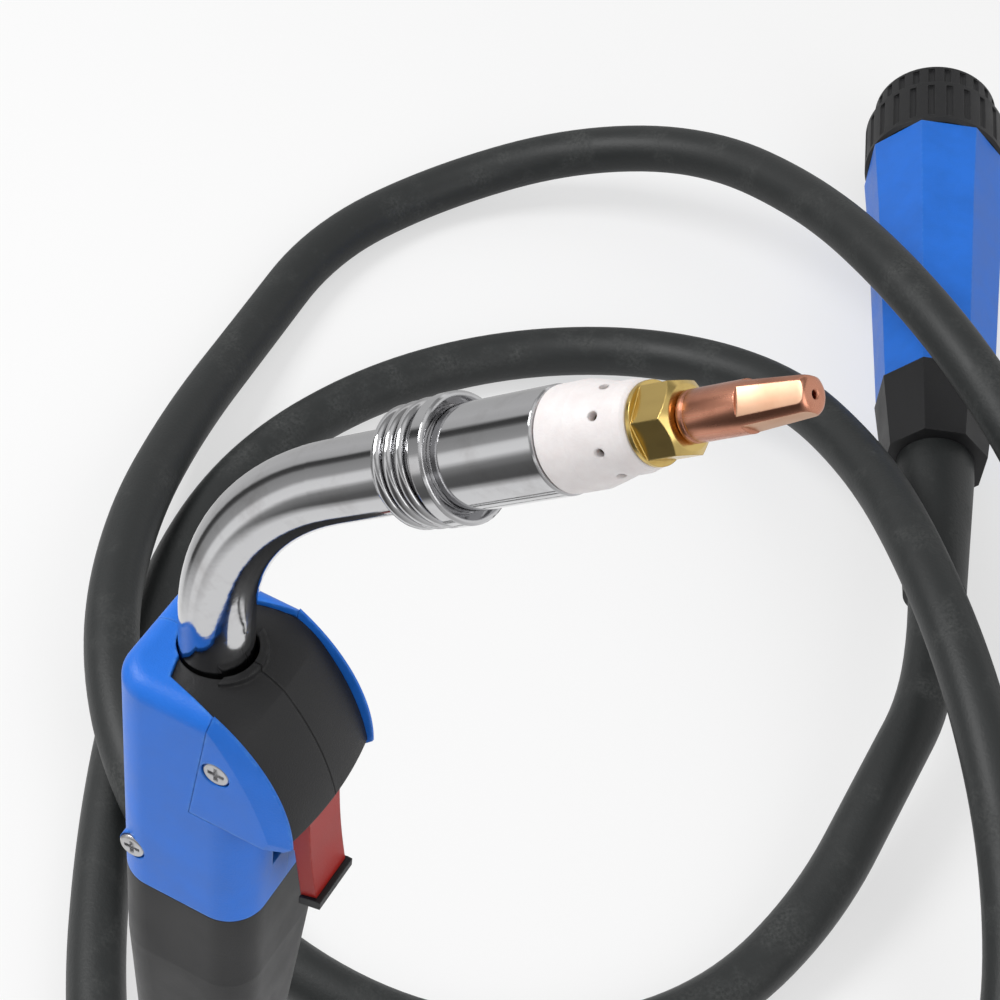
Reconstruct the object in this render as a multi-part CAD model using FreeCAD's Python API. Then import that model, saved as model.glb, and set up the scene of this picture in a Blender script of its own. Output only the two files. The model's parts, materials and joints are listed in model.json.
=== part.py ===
import FreeCAD, Part
import math
import os
from FreeCAD import Placement, Rotation, Vector

# Air-cooled mig welding torch: bent neck, trigger handle, free cable and central plug.
# Millimetres. The origin is on the handle's axis, +Z runs up to the neck, +X is the trigger side.

# Fits
FIT = 0.05            # radial clearance of seated parts
RUN = 0.08            # radial clearance of parts that turn or slide
SEAM = 0.1            # gap between mouldings that meet
OVER = 1.0            # how far a cutting tool runs past what it cuts

# Neck
COLLAR_Z = 80.0       # top face of the handle
NECK_R = 7.1          # outer jacket
NECK_WALL = 1.2
NECK_RISE = 8.7       # straight above the handle
NECK_BEND_R = 62.8    # bend radius on the centre line
NECK_ANGLE = 50.0     # bend in degrees
NECK_FRONT = 30.0     # straight from the bend to the front face of the stop ring
NECK_DEPTH = 32.0     # length held in the handle
NECK_INSERT = 9.6     # length held in the front tube
CONDUCTOR_R = 4.0
CONDUCTOR_BORE = 1.7
LINER_R = 1.6
LINER_BORE = 0.9
BUSH_LENGTH = 8.0
BUSH_FLUTES = 6
BUSH_FLUTE_R = 0.8

# Front end, measured along the bent axis from the stop ring's front face
TUBE_R = 8.6
TUBE_BORE = 7.3
TUBE_REAR = -13.6
TUBE_FRONT = 20.9
TUBE_CHAMFER = 0.3
SPRING_SEAT_R = 8.0
RING_R = 10.7
RING_LENGTH = 2.7
RING_EDGE = 0.4       # outer chamfer
RING_THROAT = 1.3     # depth of the bevel inside its front face
SPRING_WIRE = 2.0
SPRING_PITCH = 2.72
SPRING_REAR_R = 10.1  # outside radius of the rear turn
SPRING_FRONT_R = 10.65
CAP_R = 8.4           # ceramic cap
CAP_LENGTH = 7.4
NOSE_R = 7.1          # ceramic nose in front of the shoulder
SHOULDER_LENGTH = 4.4
NOSE_LENGTH = 4.6
NOSE_END_R = 6.3
SKIRT_LENGTH = 9.0
CHAMBER_R = 5.9
GAS_HOLES = 8
GAS_HOLE_R = 0.75
GAS_HOLE_TURN = -8.0  # degrees from the side of the neck to the first hole
FLANGE_R = 6.5
FLANGE_LENGTH = 1.1
HEX_FLATS = 11.0
HEX_LENGTH = 6.1
HEX_TURN = 23.0
HEX_CHAMFER = 1.1
HOLDER_R = 5.0
HOLDER_LENGTH = 23.3  # shank behind the flange
SOCKET_DEPTH = 6.0    # how far the conductor enters the holder
TIP_R = 4.0
TIP_BODY = 11.0
TIP_NOSE = 11.3
TIP_END_R = 3.1
TIP_THREAD_R = 3.0
TIP_BORE = 0.6
TIP_FLATS = 4
TIP_FLAT_TURN = 21.0  # degrees of the first flat from the side of the neck
TIP_FLAT_START = 3.15 # distance of a flat from the axis where it starts
TIP_FLAT_END = 2.25   # and at the end of the nose
TIP_ROUND = 1.1

# Handle
HANDLE_BACK = 13.5
HANDLE_FRONT = 17.0
HANDLE_HALF = 16.5
HANDLE_CORNER = 8.0
HANDLE_WALL = 2.0
TOP_ROUND = 4.0
GRIP_TOP = 18.0
GRIP_REAR = -60.0
GRIP_WALL = 2.4
GRIP_REAR_HALF = 13.5
GRIP_REAR_CORNER = 10.0
GRIP_END_WALL = 4.0
SPIGOT_LENGTH = 24.0
SPIGOT_WALL = 1.8
SHELF = 2.0
NECK_HOLE_R = 7.6
NECK_HOLE_X = 0.35    # the hole is a little wider in front of the neck
HOLE_LIP = 0.5        # raised rim round the hole
HOLE_LIP_R = 9.2
SEAM_TOP_X = 8.6      # seam between shell and side plate at the top
SEAM_LOW_X = 4.5
PLATE_LOW = 49.8      # underside of the side plates
RIM_MID = (21.2, 67.8)
RIM_END = (26.1, 51.9)
CHIN = (24.4, PLATE_LOW + SEAM)
BEVEL_TOP = 77.2
BEVEL_MID = (14.4, 68.8)
BEVEL_END = (21.8, 52.4)
BEVEL_CHIN = (20.6, PLATE_LOW + SEAM)
RIM_WIDTH = 0.5
COVER_TOP = 79.0
COVER_WALL = 2.4
COVER_CROWN = 1.5
COVER_BACK = -4.0
COVER_FLAT = 1.0      # where the flat top ends and the nose begins
COVER_MID = (7.6, 77.9)
COVER_BROW = (13.4, 74.4)
COVER_LOW_MID = (20.4, 64.6)
COVER_LOW = (25.0, 52.0)
COVER_HORN = (-2.8, 11.0)
SCREW_X = 10.2
SCREW_Z = 65.4
SCREW_HEAD_R = 2.9
SCREW_HEAD = 1.0
SCREW_SUNK = 0.2      # how deep the head lies below the plate's face
HEAD_EDGE = 0.35
SCREW_R = 1.4
SCREW_TIP_Y = 8.4
SHELL_SCREW_X = -8.6
SHELL_SCREW_Z = 28.0
NUT_FLATS = 5.5
NUT_HEIGHT = 2.4

# Inside the handle
NECK_SOCKET_R = 9.5
NECK_SOCKET_LOW = 46.0
NECK_SOCKET_HIGH = 70.0
BLOCK_R = 7.5
BLOCK_LOW = -6.0
BLOCK_HIGH = 20.0
BLOCK_HEX = 15.0
BLOCK_HEX_LOW = 4.0
BLOCK_HEX_HIGH = 11.0
CONDUCTOR_END = 8.0
FERRULE_R = 6.0
FERRULE_TOP = 4.0
CABLE_R = 8.75
STUB_TOP = -12.0
CRIMP_R = 9.9
CRIMP_LENGTH = 12.0
RELIEF_R = 12.5
RELIEF_END_R = 10.3
RELIEF_LENGTH = 26.0
RELIEF_NECK_R = 10.1
RELIEF_FLANGE_R = 11.1
RELIEF_FLANGE = 4.0
RELIEF_RINGS = 4

# Trigger and switch
PIVOT = (13.0, 45.0)
PIN_R = 1.5
PIN_HALF = 11.0
TRIGGER_HALF = 5.5
TRIGGER_WEB = 1.8
TRIGGER_EYE_R = 3.2
TRIGGER_TOP = (24.3, 49.5)
TRIGGER_MID = (25.1, 37.0)
TRIGGER_TIP = (26.8, 24.3)
TRIGGER_HEEL = (23.3, 23.0)
TRIGGER_BACK = (21.4, 36.5)
TRIGGER_PLATE = 2.2
ARM_BACK_X = 13.2
ARM_LOW_Z = 31.6
END_CAP = 2.2
END_CAP_HALF = 6.2
END_CAP_LIP = 1.2
PIVOT_BOSS_R = 2.4
SWITCH_FRONT_X = 11.2
SWITCH_DEPTH = 6.5
SWITCH_LOW_Z = 27.0
SWITCH_LENGTH = 12.8
SWITCH_HALF = 2.9
PLUNGER_R = 1.25
PLUNGER_Z = 33.0
PLUNGER_GAP = 0.2
PLUNGER_INSIDE = 2.6
PLUNGER_TRAVEL = 1.5
LEAD_R = 0.6
LEAD_X = 9.4
LEAD_Y = 1.6
LEAD_BEND = 3.5

# Cable route on the bench: points chosen by hand from the handle to the plug
FLOOR = -220.0
LAY = FLOOR + CABLE_R
FIRST_RUN = 41.5
LAST_RUN = 38.0
ROUTE = [
    (15, 5, -166), (43, 16, -196), (80, 32, LAY), (118, 59, LAY), (148, 95, LAY),
    (161, 138, -204), (156, 182, -189), (135, 224, -170), (104, 266, -156), (68, 310, -156),
    (33, 355, -173), (-9, 386, -187), (-59, 391, -202), (-106, 370, LAY), (-138, 329, LAY),
    (-156, 280, LAY), (-156, 230, LAY), (-139, 176, LAY), (-113, 119, LAY), (-79, 62, LAY),
    (-35, 13, LAY), (18, -20, LAY), (75, -30, LAY), (129, -14, LAY), (171, 28, LAY),
    (197, 88, LAY), (203, 156, LAY), (193, 223, LAY), (169, 280, -200), (136, 324, -180),
    (98, 357, -160), (58, 385, -146), (15, 416, -146), (-30, 453, -161), (-82, 476, -178),
    (-133, 468, -197), (-173, 433, LAY), (-193, 382, LAY), (-189, 326, LAY), (-182, 271, -204),
    (-168, 216, -195), (-144, 166, -191), (-107, 127, -196), (-58, 105, -205), (-4, 104, LAY),
    (43, 123, LAY), (75, 159, LAY), (88, 204, -205), (88, 251, -196),
]

# Plug, measured along its axis from the union nut's front face towards the cable
PLUG_X = -20.4
PLUG_Y = 565.6
PLUG_TURN = -68.3     # degrees from +X to the direction of the cable end
NUT_R = 27.0
NUT_STEP_R = 23.6
NUT_STEP = 14.0
NUT_LENGTH = 38.0
NUT_BORE = 19.0
NUT_RIBS = 24
NUT_GROOVE_R = 1.5
NUT_CLEAR = 0.4
BODY_FRONT = 10.0
BODY_R = 15.4
BODY_WAIST_R = 12.4
BODY_WAIST_LENGTH = 14.0
BODY_FLANGE_R = 18.6
BODY_FLANGE = (24.0, 27.5)
BODY_END = 60.0
TAIL_R = 6.0
TAIL_END = 84.0
FERRULE_CRIMP = 18.0  # how far the plug's ferrule grips the cable
MAIN_PIN_R = 5.5
MAIN_PIN_REACH = 24.0
MAIN_PIN_SHANK_R = 4.5
MAIN_PIN_SHANK = 30.0
MAIN_PIN_BORE = 2.0
RING_WIRE_R = 0.8
RING_PLACES = (-7.0, 4.0)
CONTACT_CIRCLE = 10.8
CONTACT_SPREAD = 24.0
CONTACT_R = 2.55
CONTACT_LENGTH = 28.0
CONTACT_PIN_R = 1.9
CONTACT_PIN_REACH = 6.0
CONTACT_PIN_LENGTH = 20.0
NIPPLE_R = 2.2
NIPPLE_BORE = 1.1
NIPPLE_REACH = 8.0
NIPPLE_SHANK_R = 1.8
NIPPLE_DEPTH = 12.0
HOUSING_FRONT = 51.0  # across flats behind the nut
HOUSING_WAIST = 47.0
HOUSING_WAIST_AT = 70.0
HOUSING_REAR = 39.0
HOUSING_END = 162.0
HOUSING_WALL = 2.5
HOUSING_END_WALL = 3.0
SEAT_RIB_WIDTH = 3.0
SEAT_RIB_BACK = 5.0  # from the body's end
PLUG_SCREW_AT = 100.0
PLUG_SCREW_SIDE = 13.6
PLUG_SCREW_R = 1.6
PLUG_SCREW_HEAD_R = 3.0
PLUG_SCREW_HEAD = 2.2
PLUG_BOSS_R = 3.6
COLLAR_FRONT = 40.0
COLLAR_REAR = 34.0
COLLAR_LENGTH = 32.0
COLLAR_FLOOR = 10.0
COLLAR_END = HOUSING_END + COLLAR_LENGTH
SLEEVE_R = 13.5
SLEEVE_END_R = 10.5
SLEEVE_INNER_R = 11.2
SLEEVE_LENGTH = 60.0  # behind the collar
SLEEVE_START = HOUSING_END + COLLAR_FLOOR
SLEEVE_END = COLLAR_END + SLEEVE_LENGTH
SLEEVE_BAND = 8.0

BEND_BASE = Vector(0, 0, COLLAR_Z + NECK_RISE)
BEND_CENTRE = BEND_BASE + Vector(NECK_BEND_R, 0, 0)
FRONT_AXIS = Vector(math.sin(math.radians(NECK_ANGLE)), 0, math.cos(math.radians(NECK_ANGLE)))


def from_bend_centre(degrees):
    """Point of the neck's centre line, a number of degrees round the bend."""
    angle = math.radians(degrees)
    return BEND_CENTRE + Vector(-math.cos(angle), 0, math.sin(angle)) * NECK_BEND_R


BEND_END = from_bend_centre(NECK_ANGLE)
FRONT_PLACE = Placement(BEND_END + FRONT_AXIS * NECK_FRONT, Rotation(Vector(0, 1, 0), NECK_ANGLE))
PLUG_PLACE = Vector(PLUG_X, PLUG_Y, FLOOR + NUT_R)
PLUG_AXIS = Rotation(Vector(0, 0, 1), PLUG_TURN).multVec(Vector(1, 0, 0))
PLUG_PLACEMENT = Placement(PLUG_PLACE, Rotation(PLUG_AXIS.cross(Vector(0, 0, 1)), Vector(0, 0, 1),
                                                PLUG_AXIS, "ZYX"))


def placed(shape, placement):
    """The shape carried to its place on the torch."""
    moved = shape.copy()
    moved.Placement = placement.multiply(shape.Placement)
    return moved


def cylinder(radius, low, high):
    """Round bar about Z."""
    return Part.makeCylinder(radius, high - low, Vector(0, 0, low))


def tube(outer, inner, low, high):
    """Round tube about Z."""
    return cylinder(outer, low, high).cut(cylinder(inner, low - OVER, high + OVER))


def turned(profile):
    """Solid of revolution about Z, from corners (radius, height)."""
    corners = [Vector(radius, 0, height) for radius, height in profile]
    return Part.Face(Part.makePolygon(corners + corners[:1])).revolve(Vector(), Vector(0, 0, 1), 360)


def polygon_bar(sides, flats, low, high, turn=0.0):
    """Bar about Z with a regular polygon section, given across its flats."""
    corner_r = flats / 2 / math.cos(math.pi / sides)
    return Part.Face(polygon_wire(sides, corner_r, low, turn)).extrude(Vector(0, 0, high - low))


def polygon_wire(sides, corner_r, height, turn=0.0):
    """Regular polygon across Z; without a turn, flats face the X and Y axes on even counts of four."""
    corners = []
    for index in range(sides + 1):
        angle = 2 * math.pi * (index + 0.5) / sides + math.radians(turn)
        corners.append(Vector(corner_r * math.cos(angle), corner_r * math.sin(angle), height))
    return Part.makePolygon(corners)


def cross_bar(radius, x, z, y_from, y_to):
    """Round bar along Y."""
    return Part.makeCylinder(radius, y_to - y_from, Vector(x, y_from, z), Vector(0, 1, 0))


def outline(steps, y):
    """Closed wire in the plane of the neck; a step of two points is an arc through the first."""
    def at(point):
        return Vector(point[0], y, point[1])
    here = steps[0]
    edges = []
    for step in steps[1:] + steps[:1]:
        if isinstance(step[0], tuple):
            through, here_next = step
            edges.append(Part.Arc(at(here), at(through), at(here_next)).toShape())
        else:
            here_next = step
            edges.append(Part.LineSegment(at(here), at(here_next)).toShape())
        here = here_next
    return Part.Wire(edges)


def slab(steps, y_from, y_to):
    """Flat plate in the plane of the neck, between two values of y."""
    return Part.Face(outline(steps, y_from)).extrude(Vector(0, y_to - y_from, 0))


def block(x, y, z):
    """Box from three pairs of limits."""
    size = [high - low for low, high in (x, y, z)]
    return Part.makeBox(*size, Vector(x[0], y[0], z[0]))


def both_sides(shape):
    """A shape on +Y together with its mirror image."""
    return [shape, shape.mirror(Vector(), Vector(0, 1, 0))]


def rounded_plan(back, front, half, corner, z):
    """Rounded rectangle across the handle's axis."""
    inner = [(front - corner, half - corner), (-back + corner, half - corner),
             (-back + corner, -half + corner), (front - corner, -half + corner)]
    edges = []
    for index, (x, y) in enumerate(inner):
        centre = Vector(x, y, z)
        arc = Part.makeCircle(corner, centre, Vector(0, 0, 1), 90.0 * index, 90.0 * (index + 1))
        if edges:
            edges.append(Part.makeLine(edges[-1].Vertexes[-1].Point, arc.Vertexes[0].Point))
        edges.append(arc)
    edges.append(Part.makeLine(edges[-1].Vertexes[-1].Point, edges[0].Vertexes[0].Point))
    return Part.Wire(edges)


def handle_column(inset, low, high):
    """Handle section drawn in by an inset, as an upright column."""
    wire = rounded_plan(HANDLE_BACK - inset, HANDLE_FRONT - inset, HANDLE_HALF - inset,
                        HANDLE_CORNER - inset, low)
    return Part.Face(wire).extrude(Vector(0, 0, high - low))


def bent_pipe(outer, inner, low, reach):
    """Tube along the neck, from a height in the handle to a distance past the stop ring's face."""
    def solid(radius, extra):
        start = Vector(0, 0, low - extra)
        finish = BEND_END + FRONT_AXIS * (NECK_FRONT + reach + extra)
        path = Part.Wire([
            Part.LineSegment(start, BEND_BASE).toShape(),
            Part.Arc(BEND_BASE, from_bend_centre(NECK_ANGLE / 2), BEND_END).toShape(),
            Part.LineSegment(BEND_END, finish).toShape(),
        ])
        section = Part.Wire(Part.makeCircle(radius, start, Vector(0, 0, 1)))
        return path.makePipeShell([section], True, False)
    return solid(outer, 0).cut(solid(inner, OVER))


def biarc(start, start_way, end, end_way):
    """Two tangent arcs between two points with given directions."""
    gap = end - start
    ways = start_way + end_way
    square = 2 * (1 - start_way.dot(end_way))
    along = gap.dot(ways)
    reach = (-along + math.sqrt(along * along + square * gap.dot(gap))) / square
    joint = (start + start_way * reach + end - end_way * reach) * 0.5
    return [arc_from(start, start_way, joint), arc_from(end, end_way * -1, joint)]


def arc_from(start, way, end):
    """Arc that leaves a point in a direction and ends at another point."""
    chord = end - start
    angle = chord.getAngle(way)
    across = chord * (1 / chord.Length)
    side = way - across * way.dot(across)
    side = side * (1 / side.Length)
    middle = (start + end) * 0.5 + side * (chord.Length / 2 * math.tan(angle / 2))
    return Part.Arc(start, middle, end).toShape()


def wound_spring(turns, low, pitch, radius_low, radius_high, wire_r):
    """One unbroken wire wound about Z, on biarcs of a quarter turn; prints its least gap."""
    steps = max(4, round(turns * 4))
    growth = (radius_high - radius_low) / steps
    points = []
    ways = []
    for index in range(steps + 1):
        angle = math.pi / 2 * index
        radius = radius_low + growth * index
        points.append(Vector(radius * math.cos(angle), radius * math.sin(angle), low + pitch * index / 4))
        way = Vector(-math.sin(angle), math.cos(angle), 0) * radius
        way = way + Vector(math.cos(angle), math.sin(angle), 0) * (growth * 2 / math.pi)
        way = way + Vector(0, 0, pitch / (2 * math.pi))
        ways.append(way * (1 / way.Length))
    edges = []
    for index in range(steps):
        edges += biarc(points[index], ways[index], points[index + 1], ways[index + 1])
    path = Part.Wire(Part.__sortEdges__(edges))
    section = Part.Wire(Part.makeCircle(wire_r, points[0], ways[0]))
    spring = path.makePipeShell([section], True, False)
    gaps = [(a - b).Length - 2 * wire_r for i, a in enumerate(points) for b in points[i + 3:]]
    print("spring turns", turns, "least gap", round(min(gaps), 2))
    return spring


def cable_tube(points):
    """Cable on straight runs joined by tangent arcs; prints its radii and checks its volume."""
    here = points[0]
    edges = []
    radii = []
    for before, corner, after in zip(points, points[1:], points[2:]):
        way_in = (corner - before) * (1 / (corner - before).Length)
        way_out = (after - corner) * (1 / (after - corner).Length)
        turn = way_in.getAngle(way_out)
        reach = 0.45 * min((corner - before).Length, (after - corner).Length)
        radius = reach / math.tan(turn / 2)
        inward = (way_out - way_in) * (1 / (way_out - way_in).Length)
        middle = corner + inward * (radius / math.cos(turn / 2) - radius)
        start = corner - way_in * reach
        end = corner + way_out * reach
        edges.append(Part.LineSegment(here, start).toShape())
        edges.append(Part.Arc(start, middle, end).toShape())
        radii.append(radius)
        here = end
    edges.append(Part.LineSegment(here, points[-1]).toShape())
    path = Part.Wire(edges)
    section = Part.Wire(Part.makeCircle(CABLE_R, points[0], points[1] - points[0]))
    cable = path.makePipeShell([section], True, False)
    expected = math.pi * CABLE_R ** 2 * path.Length
    print("cable length", round(path.Length), "least radius", round(min(radii)),
          "radii", [round(radius) for radius in radii])
    print("cable volume over section times length", round(cable.Volume / expected, 4))
    return cable


def round_gas_hole(degrees):
    """Slanting gas hole through the shoulder of the ceramic."""
    angle = math.radians(degrees)
    outward = Vector(math.cos(angle), math.sin(angle), 0)
    middle = TUBE_FRONT + CAP_LENGTH + SHOULDER_LENGTH * 0.85
    start = outward * (CHAMBER_R - OVER) + Vector(0, 0, middle)
    return Part.makeCylinder(GAS_HOLE_R, CAP_R - CHAMBER_R + 2 * OVER, start, outward)


def front_parts():
    """Everything on the bent axis in front of the neck, before it is carried to its place."""
    shoulder = TUBE_FRONT + CAP_LENGTH
    nose = shoulder + SHOULDER_LENGTH
    face = nose + NOSE_LENGTH
    holder_rear = face - HOLDER_LENGTH
    hex_start = face + FLANGE_LENGTH
    tip_start = hex_start + HEX_LENGTH
    tip_nose = tip_start + TIP_BODY
    tip_end = tip_nose + TIP_NOSE

    front_tube = turned([
        (TUBE_BORE, TUBE_REAR), (SPRING_SEAT_R, TUBE_REAR), (SPRING_SEAT_R, 0), (TUBE_R, 0),
        (TUBE_R, TUBE_FRONT - TUBE_CHAMFER), (TUBE_R - TUBE_CHAMFER, TUBE_FRONT),
        (TUBE_BORE, TUBE_FRONT),
    ])
    ring_bore = SPRING_SEAT_R + FIT
    stop_ring = turned([
        (ring_bore, -RING_LENGTH + FIT), (RING_R, -RING_LENGTH + FIT), (RING_R, -RING_EDGE),
        (RING_R - RING_EDGE, 0), (TUBE_R + RING_THROAT, 0), (TUBE_R + FIT, -RING_THROAT),
        (ring_bore, -RING_THROAT),
    ])
    wire_r = SPRING_WIRE / 2
    first = TUBE_REAR + wire_r
    last = -RING_LENGTH - wire_r - FIT
    spring = wound_spring((last - first) / SPRING_PITCH, first, SPRING_PITCH,
                          SPRING_REAR_R - wire_r, SPRING_FRONT_R - wire_r, wire_r)

    insulator_rear = TUBE_REAR + NECK_INSERT + SEAM
    insulator_front = TUBE_FRONT - SKIRT_LENGTH - SEAM
    insulator = tube(TUBE_BORE - FIT, CONDUCTOR_R + FIT, insulator_rear, insulator_front)
    gas_circle = (TUBE_BORE + CONDUCTOR_R) / 2
    for index in range(GAS_HOLES):
        angle = 2 * math.pi * index / GAS_HOLES
        way = Part.makeCylinder(
            GAS_HOLE_R, insulator_front - insulator_rear + 2 * OVER,
            Vector(gas_circle * math.cos(angle), gas_circle * math.sin(angle), insulator_rear - OVER))
        insulator = insulator.cut(way)

    ceramic = turned([
        (CHAMBER_R, TUBE_FRONT - SKIRT_LENGTH), (TUBE_BORE - 2 * FIT, TUBE_FRONT - SKIRT_LENGTH),
        (TUBE_BORE - 2 * FIT, TUBE_FRONT + FIT), (CAP_R - 0.5, TUBE_FRONT + FIT),
        (CAP_R, TUBE_FRONT + 0.6), (CAP_R, shoulder - 1.2), (CAP_R - 0.25, shoulder),
        (NOSE_R + 0.2, nose - 0.8), (NOSE_R, nose), (NOSE_R, face - 1.8), (NOSE_R - 0.3, face - 0.7),
        (NOSE_END_R, face), (HOLDER_R + FIT, face), (HOLDER_R + FIT, nose + 1.5), (CHAMBER_R, nose + 1.5),
    ])
    for index in range(GAS_HOLES):
        ceramic = ceramic.cut(round_gas_hole(-90 + GAS_HOLE_TURN + 360 * index / GAS_HOLES))

    holder = turned([
        (CONDUCTOR_BORE, holder_rear + SOCKET_DEPTH), (CONDUCTOR_R + FIT, holder_rear + SOCKET_DEPTH),
        (CONDUCTOR_R + FIT, holder_rear), (HOLDER_R, holder_rear), (HOLDER_R, face + FIT),
        (FLANGE_R - 0.3, face + FIT), (FLANGE_R, face + 0.35), (FLANGE_R, hex_start),
        (TIP_THREAD_R + FIT, hex_start), (TIP_THREAD_R + FIT, hex_start - 1), (CONDUCTOR_BORE, hex_start - 1),
    ])
    hex_r = HEX_FLATS / 2 + HEX_CHAMFER
    chamfer = turned([(0, hex_start - OVER), (hex_r, hex_start - OVER), (hex_r, tip_start - HEX_CHAMFER),
                      (hex_r - 1.5 * HEX_CHAMFER, tip_start), (0, tip_start)])
    hexagon = polygon_bar(6, HEX_FLATS, hex_start - OVER / 2, tip_start, HEX_TURN).common(chamfer)
    hexagon = hexagon.cut(cylinder(TIP_THREAD_R + FIT, hex_start - OVER, tip_start + OVER))
    holder = holder.fuse(hexagon).removeSplitter()

    tip = turned([
        (TIP_BORE, hex_start + FIT), (TIP_THREAD_R, hex_start + FIT), (TIP_THREAD_R, tip_start + FIT),
        (TIP_R - 0.5, tip_start + FIT), (TIP_R, tip_start + 0.55), (TIP_R, tip_nose),
        (TIP_END_R, tip_end), (TIP_BORE, tip_end),
    ])
    end_edges = [edge for edge in tip.Edges if edge.BoundBox.ZMin > tip_end - FIT
                 and edge.BoundBox.XMax > TIP_END_R - FIT]
    tip = tip.makeFillet(TIP_ROUND, end_edges[:1])
    slope = math.degrees(math.atan2(TIP_FLAT_START - TIP_FLAT_END, TIP_NOSE))
    for index in range(TIP_FLATS):
        cutter = Part.makeBox(TIP_R, 2 * TIP_R, 2 * TIP_NOSE, Vector(0, -TIP_R, 0))
        cutter.rotate(Vector(), Vector(0, 1, 0), -slope)
        cutter.translate(Vector(TIP_FLAT_START, 0, tip_nose))
        cutter = cutter.common(block((0, 2 * TIP_R), (-TIP_R, TIP_R), (tip_nose, tip_end + OVER)))
        cutter.rotate(Vector(), Vector(0, 0, 1), -90 + TIP_FLAT_TURN + 360 * index / TIP_FLATS)
        tip = tip.cut(cutter)

    bush = fluted_bush(TUBE_REAR - BUSH_LENGTH - 4, TUBE_REAR - 4)
    parts = {"front_tube": front_tube, "nozzle_stop_ring": stop_ring, "nozzle_spring": spring,
             "gas_insulator": insulator, "gas_diffuser": ceramic, "tip_holder": holder, "contact_tip": tip}
    front = {name: placed(shape, FRONT_PLACE) for name, shape in parts.items()}
    lower_bush = fluted_bush(NECK_SOCKET_LOW + 10, NECK_SOCKET_LOW + 10 + BUSH_LENGTH)
    front["neck_bushes"] = Part.makeCompound([lower_bush, placed(bush, FRONT_PLACE)])
    tip_reach = hex_start - 4 * FIT
    front["neck_tube"] = bent_pipe(NECK_R, NECK_R - NECK_WALL, COLLAR_Z - NECK_DEPTH, TUBE_REAR + NECK_INSERT)
    front["inner_conductor"] = bent_pipe(CONDUCTOR_R, CONDUCTOR_BORE, CONDUCTOR_END,
                                         holder_rear + SOCKET_DEPTH - FIT)
    front["wire_liner"] = bent_pipe(LINER_R, LINER_BORE, STUB_TOP + SEAM, tip_reach - 1)
    front["neck_socket"] = tube(NECK_SOCKET_R, NECK_R + FIT, NECK_SOCKET_LOW, NECK_SOCKET_HIGH)
    return front


def fluted_bush(low, high):
    """Insulating bush between the conductor and the jacket, fluted so that gas passes."""
    bush = tube(NECK_R - NECK_WALL - FIT, CONDUCTOR_R + FIT, low, high)
    for index in range(BUSH_FLUTES):
        angle = 2 * math.pi * index / BUSH_FLUTES
        groove = Part.makeCylinder(BUSH_FLUTE_R, high - low + 2 * OVER, Vector(
            (NECK_R - NECK_WALL) * math.cos(angle), (NECK_R - NECK_WALL) * math.sin(angle), low - OVER))
        bush = bush.cut(groove)
    return bush


def seam_x(z):
    """Where the seam between shell and side plate lies at a height."""
    share = (z - PLATE_LOW) / (COLLAR_Z - PLATE_LOW)
    return SEAM_LOW_X + share * (SEAM_TOP_X - SEAM_LOW_X)


def cover_plan(clearance, low, high):
    """Upright prism over the front cover's plan, grown by a clearance."""
    side = HANDLE_HALF - HANDLE_WALL - FIT + clearance
    horn_x, horn_y = COVER_HORN
    corners = [(COVER_BACK - clearance, 0), (COVER_BACK - clearance, horn_y - 4),
               (horn_x - clearance, horn_y + clearance), (seam_x(COLLAR_Z), side),
               (2 * HANDLE_FRONT, side), (2 * HANDLE_FRONT, 0)]
    points = [Vector(x, y, low) for x, y in corners]
    half = Part.Face(Part.makePolygon(points + points[:1])).extrude(Vector(0, 0, high - low))
    other = half.mirror(Vector(), Vector(0, 1, 0))
    return half.fuse(other).removeSplitter()


def neck_hole(clearance):
    """Round hole for the neck through the handle's top."""
    hole = cylinder(NECK_HOLE_R + clearance, COLLAR_Z - 3 * COVER_WALL, COLLAR_Z + OVER)
    hole.translate(Vector(NECK_HOLE_X, 0, 0))
    return hole


def rib(inset, z, thickness, cuts):
    """Cross rib inside the handle with its clearances cut out."""
    plate = handle_column(inset, z, z + thickness)
    for cutter in cuts:
        plate = plate.cut(cutter)
    return plate


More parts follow.
